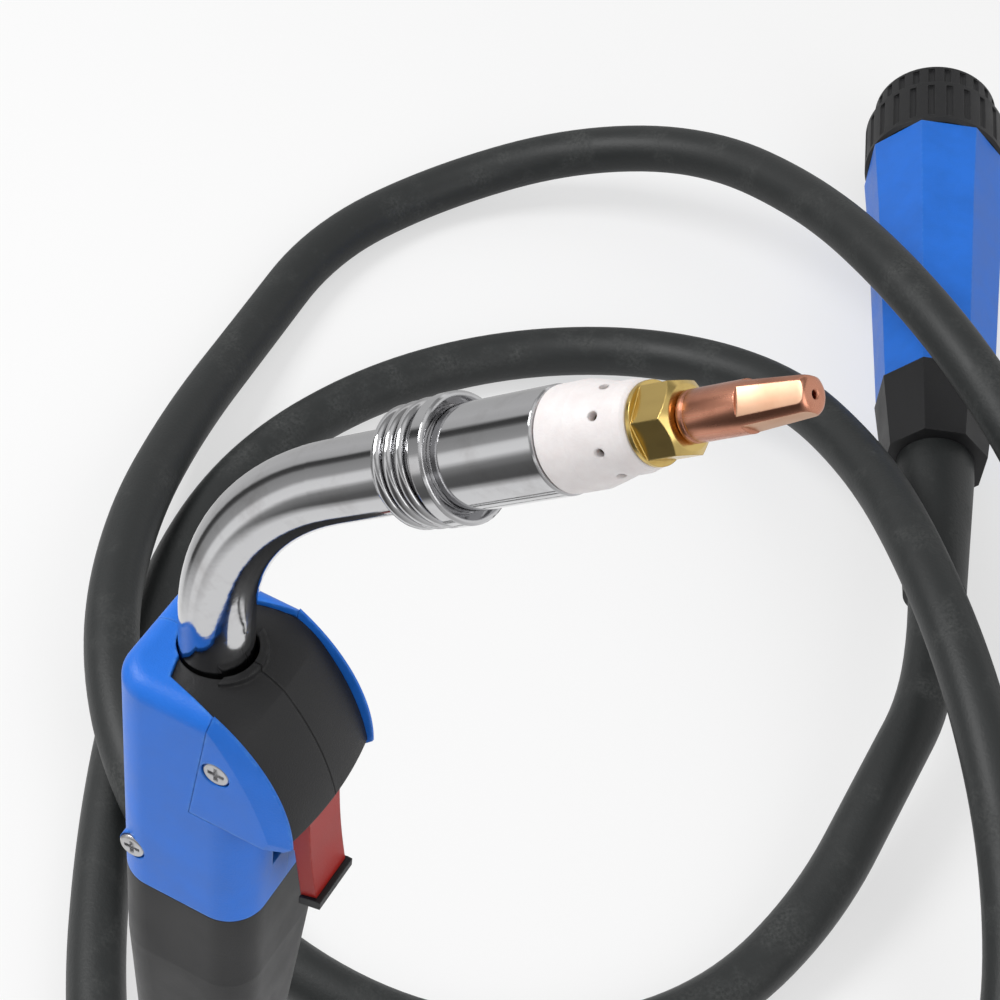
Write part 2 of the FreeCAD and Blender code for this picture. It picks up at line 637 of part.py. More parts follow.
def handle_shells():
    """Two hollow blue shells that meet in the plane of the neck."""
    rib_thick = 2.0
    grip_inset = GRIP_WALL + SEAM
    spigot_low = GRIP_TOP - SPIGOT_LENGTH
    outer = handle_column(0, GRIP_TOP, COLLAR_Z)
    top_edges = [edge for edge in outer.Edges if edge.BoundBox.ZMin > COLLAR_Z - FIT]
    outer = outer.makeFillet(TOP_ROUND, top_edges)
    outer = outer.fuse(handle_column(grip_inset, spigot_low, GRIP_TOP))
    cavity = handle_column(HANDLE_WALL, GRIP_TOP + SHELF, COLLAR_Z - HANDLE_WALL)
    spigot_cavity = handle_column(grip_inset + SPIGOT_WALL, spigot_low - OVER, GRIP_TOP + SHELF + OVER)
    body = outer.cut(cavity).cut(spigot_cavity)

    socket_room = cylinder(NECK_SOCKET_R + FIT, NECK_SOCKET_LOW - OVER, NECK_SOCKET_HIGH + OVER)
    front_half = block((0, 2 * HANDLE_FRONT), (-HANDLE_HALF, HANDLE_HALF), (PLATE_LOW - 4, COLLAR_Z))
    lead_room = block((LEAD_X - 1.2, LEAD_X + 1.6), (-LEAD_Y - 1.2, LEAD_Y + 1.2), (spigot_low, SWITCH_LOW_Z))
    conductor_room = cylinder(CONDUCTOR_R + FIT, GRIP_TOP, NECK_SOCKET_LOW)
    switch_room = block((SWITCH_FRONT_X - SWITCH_DEPTH - SEAM, SWITCH_FRONT_X + SEAM),
                        (-SWITCH_HALF - SEAM, SWITCH_HALF + SEAM),
                        (SWITCH_LOW_Z - SEAM, SWITCH_LOW_Z + SWITCH_LENGTH + SEAM))
    arm_room = block((SWITCH_FRONT_X, HANDLE_FRONT), (-TRIGGER_HALF - 0.8, TRIGGER_HALF + 0.8),
                     (ARM_LOW_Z - 3, COLLAR_Z))
    inset = HANDLE_WALL / 2
    ribs = [
        rib(inset, NECK_SOCKET_HIGH - 4, rib_thick, [socket_room, front_half]),
        rib(inset, NECK_SOCKET_LOW + 6, rib_thick, [socket_room, front_half]),
        rib(inset, PLUNGER_Z + 3, rib_thick, [conductor_room, switch_room, arm_room]),
        rib(inset, SWITCH_LOW_Z - SEAM - rib_thick, rib_thick, [conductor_room, lead_room]),
        rib(grip_inset + SPIGOT_WALL / 2, BLOCK_HIGH - 7, rib_thick,
            [cylinder(BLOCK_R + FIT, BLOCK_LOW, BLOCK_HIGH + OVER), lead_room]),
    ]
    body = body.fuse(ribs)

    front_zone = slab([(seam_x(PLATE_LOW), PLATE_LOW), (2 * HANDLE_FRONT, PLATE_LOW),
                       (2 * HANDLE_FRONT, COLLAR_Z + OVER), (seam_x(COLLAR_Z + OVER), COLLAR_Z + OVER)],
                      -HANDLE_HALF - OVER, HANDLE_HALF + OVER)
    window = block((PIVOT[0], HANDLE_FRONT + OVER), (-TRIGGER_HALF - 0.5, TRIGGER_HALF + 0.5),
                   (ARM_LOW_Z - 2.6, PLATE_LOW + OVER))
    body = body.cut(front_zone)
    body = body.cut(cover_plan(SEAM, COVER_TOP - COVER_WALL - SEAM, COLLAR_Z + OVER))
    body = body.cut(neck_hole(SEAM))
    body = body.cut(window)

    pin_inner = TRIGGER_HALF + 0.7
    for boss in both_sides(cross_bar(PIVOT_BOSS_R, *PIVOT, pin_inner, PIN_HALF + 1)):
        body = body.fuse(boss)
    body = body.cut(cross_bar(PIN_R + FIT, *PIVOT, -PIN_HALF - SEAM, PIN_HALF + SEAM))

    screw_boss_r = 3.2
    boss_end = HANDLE_HALF - HANDLE_WALL / 2
    body = body.fuse(cross_bar(screw_boss_r, SHELL_SCREW_X, SHELL_SCREW_Z, -boss_end, boss_end))
    body = body.cut(cross_bar(SCREW_R + FIT, SHELL_SCREW_X, SHELL_SCREW_Z, -HANDLE_HALF, HANDLE_HALF + OVER))
    head_floor = HANDLE_HALF - SCREW_HEAD - SCREW_SUNK
    body = body.cut(cross_bar(SCREW_HEAD_R + 0.15, SHELL_SCREW_X, SHELL_SCREW_Z,
                              -HANDLE_HALF - OVER, -head_floor))
    body = body.cut(hex_pocket(NUT_FLATS + 4 * FIT, HANDLE_HALF - NUT_HEIGHT - 0.4, HANDLE_HALF + OVER))

    reach = 2 * COLLAR_Z
    left = body.common(block((-reach, reach), (0, reach), (-reach, reach)))
    right = body.common(block((-reach, reach), (-reach, 0), (-reach, reach)))
    return {"handle_shell_left": biggest(left), "handle_shell_right": biggest(right)}


def biggest(shape):
    """The largest solid of a result, free of loose slivers."""
    return max(shape.Solids, key=lambda solid: solid.Volume)


def hex_pocket(flats, y_from, y_to):
    """Hexagonal bar along Y at the shell screw."""
    bar = polygon_bar(6, flats, 0, y_to - y_from)
    bar.rotate(Vector(), Vector(1, 0, 0), -90)
    bar.translate(Vector(SHELL_SCREW_X, y_from, SHELL_SCREW_Z))
    return bar


def side_plate():
    """Blue side plate on +Y with its proud rim and bevel."""
    inner_y = HANDLE_HALF - HANDLE_WALL
    crest = COLLAR_Z - SEAM
    low = PLATE_LOW + SEAM
    full = [(seam_x(crest) + SEAM, crest), (RIM_MID, RIM_END), CHIN, (seam_x(low) + SEAM, low)]
    flat = [(seam_x(BEVEL_TOP) + SEAM, BEVEL_TOP), (BEVEL_MID, BEVEL_END), BEVEL_CHIN,
            (seam_x(low) + SEAM, low)]
    rim = slab(full, inner_y, inner_y + RIM_WIDTH)
    bevel = Part.makeLoft([outline(full, inner_y + RIM_WIDTH), outline(flat, HANDLE_HALF)], True, True)
    plate = rim.fuse(bevel).removeSplitter()
    floor = HANDLE_HALF - SCREW_HEAD - SCREW_SUNK
    plate = plate.cut(cross_bar(SCREW_HEAD_R + 0.15, SCREW_X, SCREW_Z, floor, HANDLE_HALF + OVER))
    return plate.cut(cross_bar(SCREW_R + FIT, SCREW_X, SCREW_Z, inner_y - OVER, floor + OVER))


def swollen(point, crown, along, up):
    """A profile point pushed out by shares of the crown."""
    return (point[0] + along * crown, point[1] + up * crown)


def cover_profile(crown):
    """Outer profile of the front cover, pushed out by the crown."""
    return [
        (COVER_BACK - OVER, COVER_TOP), (COVER_FLAT, COVER_TOP),
        (swollen(COVER_MID, crown, 0.2, 0.3), swollen(COVER_BROW, crown, 0.6, 0.7)),
        (swollen(COVER_LOW_MID, crown, 0.85, 0.4), swollen(COVER_LOW, crown, 1.0, 0.0)),
        (COVER_LOW[0] - 1.2 + crown, PLATE_LOW + 2 * SEAM), (COVER_BACK - OVER, PLATE_LOW + 2 * SEAM),
    ]


def front_cover():
    """Black front cover half on +Y: crowned nose, side wall, saddle rib and screw boss."""
    side = HANDLE_HALF - HANDLE_WALL - FIT
    middle = side * 0.55
    middle_crown = COVER_CROWN * (1 - (middle / side) ** 2)
    sections = [outline(cover_profile(crown), y)
                for crown, y in ((COVER_CROWN, 0), (middle_crown, middle), (0, side))]
    nose = Part.makeLoft(sections, True, False)
    wall = COVER_WALL
    inward = 0.9 * wall
    inner = slab([
        (COVER_BACK - 2 * OVER, COVER_TOP - wall), (COVER_FLAT, COVER_TOP - wall),
        ((COVER_MID[0] - 0.3 * wall, COVER_MID[1] - inward),
         (COVER_BROW[0] - 0.6 * wall, COVER_BROW[1] - inward)),
        ((COVER_LOW_MID[0] - inward, COVER_LOW_MID[1] - 0.4 * wall), (COVER_LOW[0] - wall, PLATE_LOW + wall)),
        (HANDLE_FRONT + 4 * SEAM, PLATE_LOW + wall), (HANDLE_FRONT + 4 * SEAM, PLATE_LOW - OVER),
        (COVER_BACK - 2 * OVER, PLATE_LOW - OVER),
    ], -OVER, side - HANDLE_WALL)
    socket_room = cylinder(NECK_SOCKET_R + FIT, NECK_SOCKET_LOW, NECK_SOCKET_HIGH + OVER)
    reach = 4 * HANDLE_FRONT
    saddle_z = SCREW_Z - 8
    saddle = nose.common(block((0, reach), (0, side), (saddle_z, saddle_z + 2))).cut(socket_room)
    boss = cross_bar(3.0, SCREW_X, SCREW_Z, SCREW_TIP_Y - 0.4, side - 1)
    cover = nose.cut(inner).fuse([saddle, boss])
    cover = cover.common(cover_plan(0, PLATE_LOW - OVER, COLLAR_Z))
    lip = cylinder(HOLE_LIP_R, COVER_TOP - COVER_WALL, COVER_TOP + HOLE_LIP)
    lip.translate(Vector(NECK_HOLE_X, 0, 0))
    front = block((COVER_BACK + HOLE_LIP_R, 2 * HANDLE_FRONT), (0, HANDLE_HALF), (0, 2 * COLLAR_Z))
    cover = cover.fuse(lip.common(front)).cut(neck_hole(0))
    cover = cover.cut(cross_bar(SCREW_R + FIT, SCREW_X, SCREW_Z, 0, side + OVER))
    return biggest(cover)


def cross_slot(face_y):
    """Cross recess in a screw head that faces +Y, at the side screw."""
    arm = 0.6 * SCREW_HEAD_R
    half = 0.16 * SCREW_HEAD_R
    depth = 0.7 * SCREW_HEAD
    flat = block((-arm, arm), (face_y - depth, face_y + OVER), (-half, half))
    upright = block((-half, half), (face_y - depth, face_y + OVER), (-arm, arm))
    return flat.fuse(upright).removeSplitter()


def screw(x, z, head_floor, tip_y):
    """Pan head screw along Y with its head towards +Y."""
    body = cross_bar(SCREW_R, x, z, tip_y, head_floor + SCREW_HEAD / 2)
    head = cross_bar(SCREW_HEAD_R, x, z, head_floor + FIT, head_floor + SCREW_HEAD)
    face_y = head_floor + SCREW_HEAD
    head = head.makeChamfer(HEAD_EDGE, [edge for edge in head.Edges if edge.BoundBox.YMin > face_y - FIT])
    slots = cross_slot(face_y)
    slots.translate(Vector(x, 0, z))
    return body.fuse(head).cut(slots)


def handle_fasteners():
    """Side plate screws, and the long shell screw with its nut."""
    head_floor = HANDLE_HALF - SCREW_HEAD - SCREW_SUNK
    side_screws = both_sides(screw(SCREW_X, SCREW_Z, head_floor, SCREW_TIP_Y))
    nut_inner = HANDLE_HALF - NUT_HEIGHT - 0.35
    shell_screw = screw(SHELL_SCREW_X, SHELL_SCREW_Z, head_floor, -nut_inner - NUT_HEIGHT)
    shell_screw = shell_screw.mirror(Vector(), Vector(0, 1, 0))
    nut = hex_pocket(NUT_FLATS, nut_inner, nut_inner + NUT_HEIGHT)
    nut = nut.cut(cross_bar(SCREW_R + FIT, SHELL_SCREW_X, SHELL_SCREW_Z, 0, HANDLE_HALF + OVER))
    return {"side_screws": Part.makeCompound(side_screws), "shell_screw": shell_screw, "shell_nut": nut}


def lower_grip():
    """Black rear grip: a tapering sleeve over the shells' spigot, closed at the rear."""
    def loft(inset, low, high):
        top = rounded_plan(HANDLE_BACK - inset, HANDLE_FRONT - inset, HANDLE_HALF - inset,
                           HANDLE_CORNER - inset, high)
        rear = rounded_plan(GRIP_REAR_HALF - inset, GRIP_REAR_HALF - inset, GRIP_REAR_HALF - inset,
                            GRIP_REAR_CORNER - inset, low)
        return Part.makeLoft([rear, top], True, True)
    spigot_low = GRIP_TOP - SPIGOT_LENGTH
    outer = loft(0, GRIP_REAR, spigot_low).fuse(handle_column(0, spigot_low, GRIP_TOP - SEAM))
    inner = loft(GRIP_WALL, GRIP_REAR + GRIP_END_WALL, spigot_low)
    inner = inner.fuse(handle_column(GRIP_WALL, spigot_low, GRIP_TOP + OVER))
    grip = outer.cut(inner)
    return grip.cut(cylinder(RELIEF_NECK_R + FIT, GRIP_REAR - OVER, GRIP_REAR + GRIP_END_WALL + OVER))


def handle_inner():
    """Current, gas and cable parts held in the handle."""
    power_block = turned([
        (LINER_R + 2 * FIT, FERRULE_TOP + FIT), (FERRULE_R + FIT, FERRULE_TOP + FIT),
        (FERRULE_R + FIT, BLOCK_LOW), (BLOCK_R, BLOCK_LOW), (BLOCK_R, BLOCK_HIGH),
        (CONDUCTOR_R + FIT, BLOCK_HIGH), (CONDUCTOR_R + FIT, CONDUCTOR_END - FIT),
        (LINER_R + 2 * FIT, CONDUCTOR_END - FIT),
    ])
    collar = polygon_bar(6, BLOCK_HEX, BLOCK_HEX_LOW, BLOCK_HEX_HIGH).cut(
        cylinder(BLOCK_R - 1, BLOCK_HEX_LOW - OVER, BLOCK_HEX_HIGH + OVER))
    ferrule = tube(FERRULE_R, LINER_R + 2 * FIT, STUB_TOP + SEAM, FERRULE_TOP)
    relief_end = GRIP_REAR - RELIEF_LENGTH
    stub = cylinder(CABLE_R, relief_end, STUB_TOP)
    crimp = tube(CRIMP_R, CABLE_R + FIT, STUB_TOP - CRIMP_LENGTH, STUB_TOP)
    flange_low = GRIP_REAR + GRIP_END_WALL + FIT
    inner = CABLE_R + FIT
    relief = turned([
        (inner, relief_end), (RELIEF_END_R, relief_end), (RELIEF_R, GRIP_REAR - 3), (RELIEF_R, GRIP_REAR - FIT),
        (RELIEF_NECK_R, GRIP_REAR - FIT), (RELIEF_NECK_R, flange_low), (RELIEF_FLANGE_R, flange_low),
        (RELIEF_FLANGE_R, flange_low + RELIEF_FLANGE), (inner, flange_low + RELIEF_FLANGE),
    ])
    spacing = (RELIEF_LENGTH - 6) / RELIEF_RINGS
    for index in range(RELIEF_RINGS):
        low = relief_end + 1.6 + index * spacing
        groove = tube(RELIEF_R + OVER, RELIEF_END_R - 0.6 + 0.35 * index, low, low + spacing * 0.4)
        relief = relief.cut(groove)
    return {"power_block": power_block.fuse(collar).removeSplitter(), "cable_ferrule": ferrule,
            "cable_stub": stub, "crimp_sleeve": crimp, "bend_relief": relief}


def trigger_parts():
    """Red trigger with its end cap, pivot pin, switch and leads."""
    pivot_x, pivot_z = PIVOT
    top_x, top_z = TRIGGER_TOP
    body = slab([
        TRIGGER_TOP, (TRIGGER_MID, TRIGGER_TIP), TRIGGER_HEEL, TRIGGER_BACK, (17.4, 37.5),
        (15.8, ARM_LOW_Z), (ARM_BACK_X, ARM_LOW_Z), (ARM_BACK_X, 36.5), (pivot_x - 1.5, 41.0),
        (pivot_x - 2.2, pivot_z), (pivot_x, pivot_z + 2.6),
    ], -TRIGGER_HALF, TRIGGER_HALF)
    eye = cross_bar(TRIGGER_EYE_R, pivot_x, pivot_z, -TRIGGER_HALF, TRIGGER_HALF)
    body = body.fuse(eye)
    plate = TRIGGER_PLATE
    web = TRIGGER_HALF - TRIGGER_WEB
    hollow = slab([
        (18.6, top_z - plate), (top_x - plate, top_z - plate),
        ((TRIGGER_MID[0] - plate, TRIGGER_MID[1]), (TRIGGER_TIP[0] - plate, TRIGGER_TIP[1])),
        (TRIGGER_TIP[0] - plate, TRIGGER_HEEL[1] - OVER), (18.6, TRIGGER_HEEL[1] - OVER),
    ], -web, web)
    body = body.cut(hollow).cut(cross_bar(PIN_R + RUN, pivot_x, pivot_z, -HANDLE_HALF, HANDLE_HALF))

    tip_x, tip_z = TRIGGER_TIP
    heel_x, heel_z = TRIGGER_HEEL
    lip_x = tip_x + END_CAP_LIP
    cap = slab([(heel_x, heel_z - FIT), (tip_x + FIT, tip_z - FIT), (lip_x, tip_z - FIT),
                (lip_x, tip_z - END_CAP), (heel_x, heel_z - END_CAP)], -END_CAP_HALF, END_CAP_HALF)
    pin = cross_bar(PIN_R, pivot_x, pivot_z, -PIN_HALF, PIN_HALF)

    switch = block((SWITCH_FRONT_X - SWITCH_DEPTH, SWITCH_FRONT_X), (-SWITCH_HALF, SWITCH_HALF),
                   (SWITCH_LOW_Z, SWITCH_LOW_Z + SWITCH_LENGTH))
    tip = ARM_BACK_X - PLUNGER_GAP
    inner_end = SWITCH_FRONT_X - PLUNGER_INSIDE
    along_x = Vector(1, 0, 0)
    bore_depth = PLUNGER_INSIDE + PLUNGER_TRAVEL + SEAM
    bore = Part.makeCylinder(PLUNGER_R + RUN, bore_depth + OVER,
                             Vector(SWITCH_FRONT_X - bore_depth, 0, PLUNGER_Z), along_x)
    plunger = Part.makeCylinder(PLUNGER_R, tip - inner_end, Vector(inner_end, 0, PLUNGER_Z), along_x)
    return {"trigger": body, "trigger_end_cap": cap, "trigger_pin": pin, "microswitch": switch.cut(bore),
            "switch_plunger": plunger, "switch_leads": Part.makeCompound(switch_leads())}


def switch_leads():
    """Two switch wires that run down past the block to the cable's end."""
    top = SWITCH_LOW_Z - SEAM
    corner_z = STUB_TOP + LEAD_BEND + 1.0
    end_x = LEAD_X - LEAD_BEND
    leads = []
    for side in (-1, 1):
        y = side * LEAD_Y
        start = Vector(LEAD_X, y, top)
        turn = Vector(LEAD_X, y, corner_z)
        finish = Vector(end_x, y, corner_z - LEAD_BEND)
        angle = math.radians(45)
        through = Vector(end_x + LEAD_BEND * math.cos(angle), y, corner_z - LEAD_BEND * math.sin(angle))
        path = Part.Wire([Part.LineSegment(start, turn).toShape(), Part.Arc(turn, through, finish).toShape()])
        section = Part.Wire(Part.makeCircle(LEAD_R, start, Vector(0, 0, 1)))
        leads.append(path.makePipeShell([section], True, False))
    return leads


def nut_grooves(radius, low, high):
    """Round grooves that leave the grip ribs of the union nut."""
    grooves = []
    for index in range(NUT_RIBS):
        angle = 2 * math.pi * index / NUT_RIBS
        centre = Vector((radius + 0.6) * math.cos(angle), (radius + 0.6) * math.sin(angle), low)
        grooves.append(Part.makeCylinder(NUT_GROOVE_R, high - low, centre))
    return grooves


def octagon_loft(levels, inset):
    """Eight-sided housing through levels (across flats, height), drawn in by an inset."""
    wires = [polygon_wire(8, (flats / 2 - inset) / math.cos(math.pi / 8), height)
             for flats, height in levels]
    return Part.makeLoft(wires, True, True)


def around(shape, degrees, circle):
    """The shape moved out to a circle about the plug's axis."""
    moved = shape.copy()
    angle = math.radians(degrees)
    moved.translate(Vector(circle * math.cos(angle), circle * math.sin(angle), 0))
    return moved


def plug_parts():
    """Central plug about Z, before it is carried to its place; +Y is up, +X to the side."""
    flange_low, flange_high = BODY_FLANGE
    lip = flange_high + 0.3
    nut = turned([
        (NUT_BORE, 0), (NUT_STEP_R - 1.4, 0), (NUT_STEP_R, 1.4), (NUT_STEP_R, NUT_STEP - 1),
        (NUT_R - 1, NUT_STEP), (NUT_R, NUT_STEP + 1), (NUT_R, NUT_LENGTH - 1.2), (NUT_R - 1.2, NUT_LENGTH),
        (BODY_R + RUN, NUT_LENGTH), (BODY_R + RUN, lip), (NUT_BORE, lip),
    ])
    nut = nut.cut(nut_grooves(NUT_STEP_R, 2.6, NUT_STEP - 1))
    nut = nut.cut(nut_grooves(NUT_R, NUT_STEP + 3.0, NUT_LENGTH - 3.0))

    contact_angles = (180 - CONTACT_SPREAD, 180 + CONTACT_SPREAD)
    waist = BODY_END - BODY_WAIST_LENGTH
    body = turned([
        (MAIN_PIN_BORE, BODY_FRONT + MAIN_PIN_SHANK), (MAIN_PIN_SHANK_R + FIT, BODY_FRONT + MAIN_PIN_SHANK),
        (MAIN_PIN_SHANK_R + FIT, BODY_FRONT), (BODY_R - 0.8, BODY_FRONT), (BODY_R, BODY_FRONT + 0.8),
        (BODY_R, flange_low), (BODY_FLANGE_R, flange_low), (BODY_FLANGE_R, flange_high),
        (BODY_R, flange_high), (BODY_R, waist), (BODY_WAIST_R, waist), (BODY_WAIST_R, BODY_END),
        (TAIL_R, BODY_END), (TAIL_R, TAIL_END), (MAIN_PIN_BORE, TAIL_END),
    ])
    contact_end = BODY_FRONT + CONTACT_LENGTH
    for angle in contact_angles:
        body = body.cut(around(cylinder(CONTACT_R + FIT, BODY_FRONT - OVER, contact_end + SEAM),
                               angle, CONTACT_CIRCLE))
    nipple_end = BODY_FRONT + NIPPLE_DEPTH
    nipple_hole = cylinder(NIPPLE_SHANK_R + FIT, BODY_FRONT - OVER, nipple_end + SEAM)
    body = body.cut(around(nipple_hole, 0, CONTACT_CIRCLE))

    pin_front = BODY_FRONT - MAIN_PIN_REACH
    profile = [(MAIN_PIN_BORE, pin_front), (MAIN_PIN_R - 1.6, pin_front), (MAIN_PIN_R - 0.6, pin_front + 2.2),
               (MAIN_PIN_R, pin_front + 3.4)]
    for place in RING_PLACES:
        depth = MAIN_PIN_R - 2 * RING_WIRE_R + 0.3
        profile += [(MAIN_PIN_R, place - RING_WIRE_R - SEAM), (depth, place - RING_WIRE_R - SEAM),
                    (depth, place + RING_WIRE_R + SEAM), (MAIN_PIN_R, place + RING_WIRE_R + SEAM)]
    profile += [(MAIN_PIN_R, BODY_FRONT - FIT), (MAIN_PIN_SHANK_R, BODY_FRONT - FIT),
                (MAIN_PIN_SHANK_R, BODY_FRONT + MAIN_PIN_SHANK - FIT),
                (MAIN_PIN_BORE, BODY_FRONT + MAIN_PIN_SHANK - FIT)]
    main_pin = turned(profile)
    ring_out = MAIN_PIN_R - FIT
    ring_in = ring_out - 2 * RING_WIRE_R + 8 * FIT
    bulge = RING_WIRE_R / 2
    rings = [turned([(ring_in, place - RING_WIRE_R), (ring_out - bulge, place - RING_WIRE_R),
                     (ring_out, place - bulge), (ring_out, place + bulge),
                     (ring_out - bulge, place + RING_WIRE_R), (ring_in, place + RING_WIRE_R)])
             for place in RING_PLACES]

    barrel = cylinder(CONTACT_R, BODY_FRONT, contact_end).cut(
        cylinder(CONTACT_PIN_R + RUN, BODY_FRONT - OVER, contact_end - 1.2))
    barrels = [around(barrel, angle, CONTACT_CIRCLE) for angle in contact_angles]
    contact_front = BODY_FRONT - CONTACT_PIN_REACH
    contact_pin = turned([(0, contact_front), (CONTACT_PIN_R - 0.7, contact_front),
                          (CONTACT_PIN_R, contact_front + 0.9),
                          (CONTACT_PIN_R, contact_front + CONTACT_PIN_LENGTH),
                          (0, contact_front + CONTACT_PIN_LENGTH)])
    nipple = turned([
        (NIPPLE_BORE, BODY_FRONT - NIPPLE_REACH), (NIPPLE_R, BODY_FRONT - NIPPLE_REACH),
        (NIPPLE_R, BODY_FRONT - FIT), (NIPPLE_SHANK_R, BODY_FRONT - FIT), (NIPPLE_SHANK_R, nipple_end),
        (NIPPLE_BORE, nipple_end),
    ])

    parts = {
        "union_nut": nut, "connector_body": body, "main_pin": main_pin,
        "o_rings": Part.makeCompound(rings), "contact_barrels": Part.makeCompound(barrels),
        "control_pin_left": around(contact_pin, contact_angles[0], CONTACT_CIRCLE),
        "control_pin_right": around(contact_pin, contact_angles[1], CONTACT_CIRCLE),
        "gas_nipple": around(nipple, 0, CONTACT_CIRCLE),
    }
    parts.update(plug_housing())
    return {name: placed(shape, PLUG_PLACEMENT) for name, shape in parts.items()}


def plug_housing():
    """Blue eight-sided housing halves, their screws, the black collar and the cable's sleeve."""
    start = NUT_LENGTH + NUT_CLEAR
    levels = [(HOUSING_FRONT, start), (HOUSING_WAIST, HOUSING_WAIST_AT), (HOUSING_REAR, HOUSING_END)]
    outer = octagon_loft(levels, 0)
    hollow = octagon_loft(levels, HOUSING_WALL)
    room = block((-NUT_R, NUT_R), (-NUT_R, NUT_R), (start + HOUSING_END_WALL, HOUSING_END - HOUSING_END_WALL))
    housing = outer.cut(hollow.common(room))
    housing = housing.cut(cylinder(BODY_R + FIT, start - OVER, start + HOUSING_END_WALL + OVER))
    housing = housing.cut(cylinder(CABLE_R + FIT, HOUSING_END - HOUSING_END_WALL - OVER, HOUSING_END + OVER))
    rib_end = BODY_END - SEAT_RIB_BACK
    waist_seat = block((-NUT_R, NUT_R), (-NUT_R, NUT_R), (rib_end - SEAT_RIB_WIDTH, rib_end))
    seat = hollow.common(waist_seat).cut(cylinder(BODY_WAIST_R + FIT, BODY_END - BODY_WAIST_LENGTH, BODY_END))
    head_floor = -HOUSING_WAIST / 4
    thread_end = HOUSING_WAIST / 4
    screws = []
    housing = housing.fuse(seat)
    for side in (-1, 1):
        place = Vector(side * PLUG_SCREW_SIDE, -HOUSING_FRONT / 2, PLUG_SCREW_AT)
        up = Vector(0, 1, 0)
        boss = Part.makeCylinder(PLUG_BOSS_R, HOUSING_FRONT, place, up).common(outer)
        housing = housing.fuse(boss)
    for side in (-1, 1):
        x = side * PLUG_SCREW_SIDE
        low = Vector(x, -HOUSING_FRONT / 2, PLUG_SCREW_AT)
        floor = Vector(x, head_floor, PLUG_SCREW_AT)
        housing = housing.cut(Part.makeCylinder(PLUG_SCREW_HEAD_R + SEAM, floor.y - low.y, low, up))
        housing = housing.cut(Part.makeCylinder(PLUG_SCREW_R + FIT, thread_end - head_floor, floor, up))
        shank = Part.makeCylinder(PLUG_SCREW_R, thread_end - head_floor - SEAM, floor, up)
        head = Part.makeCylinder(PLUG_SCREW_HEAD_R, PLUG_SCREW_HEAD, floor - up * (PLUG_SCREW_HEAD + FIT), up)
        neck = Part.makeCylinder(PLUG_SCREW_R, 2 * FIT, floor - up * FIT, up)
        screws.append(shank.fuse([head, neck]))
    top = housing.common(block((-NUT_R, NUT_R), (0, NUT_R), (start - OVER, HOUSING_END + OVER)))
    bottom = housing.common(block((-NUT_R, NUT_R), (-NUT_R, 0), (start - OVER, HOUSING_END + OVER)))

    collar = octagon_loft([(COLLAR_FRONT, HOUSING_END + SEAM), (COLLAR_REAR, COLLAR_END)], 0)
    collar = collar.cut(cylinder(SLEEVE_INNER_R + FIT, SLEEVE_START - FIT, COLLAR_END + OVER))
    collar = collar.cut(cylinder(CABLE_R + FIT, HOUSING_END - OVER, SLEEVE_START + OVER))
    sleeve = turned([
        (CABLE_R + FIT, SLEEVE_START), (SLEEVE_INNER_R, SLEEVE_START), (SLEEVE_INNER_R, COLLAR_END + FIT),
        (SLEEVE_R, COLLAR_END + FIT), (SLEEVE_R, COLLAR_END + SLEEVE_BAND), (SLEEVE_END_R, SLEEVE_END),
        (CABLE_R + FIT, SLEEVE_END),
    ])
    stub = cylinder(CABLE_R, TAIL_END + SEAM, SLEEVE_END)
    crimp_end = TAIL_END + FERRULE_CRIMP
    ferrule = turned([
        (TAIL_R + FIT, TAIL_END - CRIMP_LENGTH), (CRIMP_R, TAIL_END - CRIMP_LENGTH), (CRIMP_R, crimp_end),
        (CABLE_R + FIT, crimp_end), (CABLE_R + FIT, TAIL_END + FIT), (TAIL_R + FIT, TAIL_END + FIT),
    ])
    return {"connector_shell_top": biggest(top), "connector_shell_bottom": biggest(bottom),
            "connector_screws": Part.makeCompound(screws), "connector_collar": collar,
            "connector_relief": sleeve, "connector_stub": stub, "connector_ferrule": ferrule}


def cable():
    """Free cable from the handle's relief to the plug's sleeve."""
    exit_point = Vector(0, 0, GRIP_REAR - RELIEF_LENGTH)
    entry = PLUG_PLACE + PLUG_AXIS * SLEEVE_END
    points = [exit_point, exit_point - Vector(0, 0, FIRST_RUN)]
    points += [Vector(*point) for point in ROUTE]
    points += [entry + PLUG_AXIS * LAST_RUN, entry]
    return {"cable": cable_tube(points)}


def torch():
    """All pieces by name."""
    parts = front_parts()
    parts.update(handle_shells())
    for name, shape in (("side_plate", side_plate()), ("front_cover", front_cover())):
        left, right = both_sides(shape)
        parts[name + "_left"] = left
        parts[name + "_right"] = right
    parts.update(handle_fasteners())
    parts["lower_grip"] = lower_grip()
    parts.update(handle_inner())
    parts.update(trigger_parts())
    parts.update(plug_parts())
    parts.update(cable())
    return parts


os.makedirs("parts", exist_ok=True)
for node, solid in torch().items():
    solid.exportStep("parts/" + node + ".step")
    faults = "" if solid.isValid() else " NOT VALID"
    print(node, "solids", len(solid.Solids), "volume", round(solid.Volume), faults)
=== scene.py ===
# %% [markdown]
# # A mig welding torch
# This lesson dresses a welding torch that arrives as a fixed frame: every rigid piece already has its
# true size and place. The work here is finishes, the cable, and pieces that deserve a finer mesh.
# The frame is loaded first, because everything else is placed by it.

# %% Load the frame
import bpy
import json
import math
from mathutils import Matrix, Vector


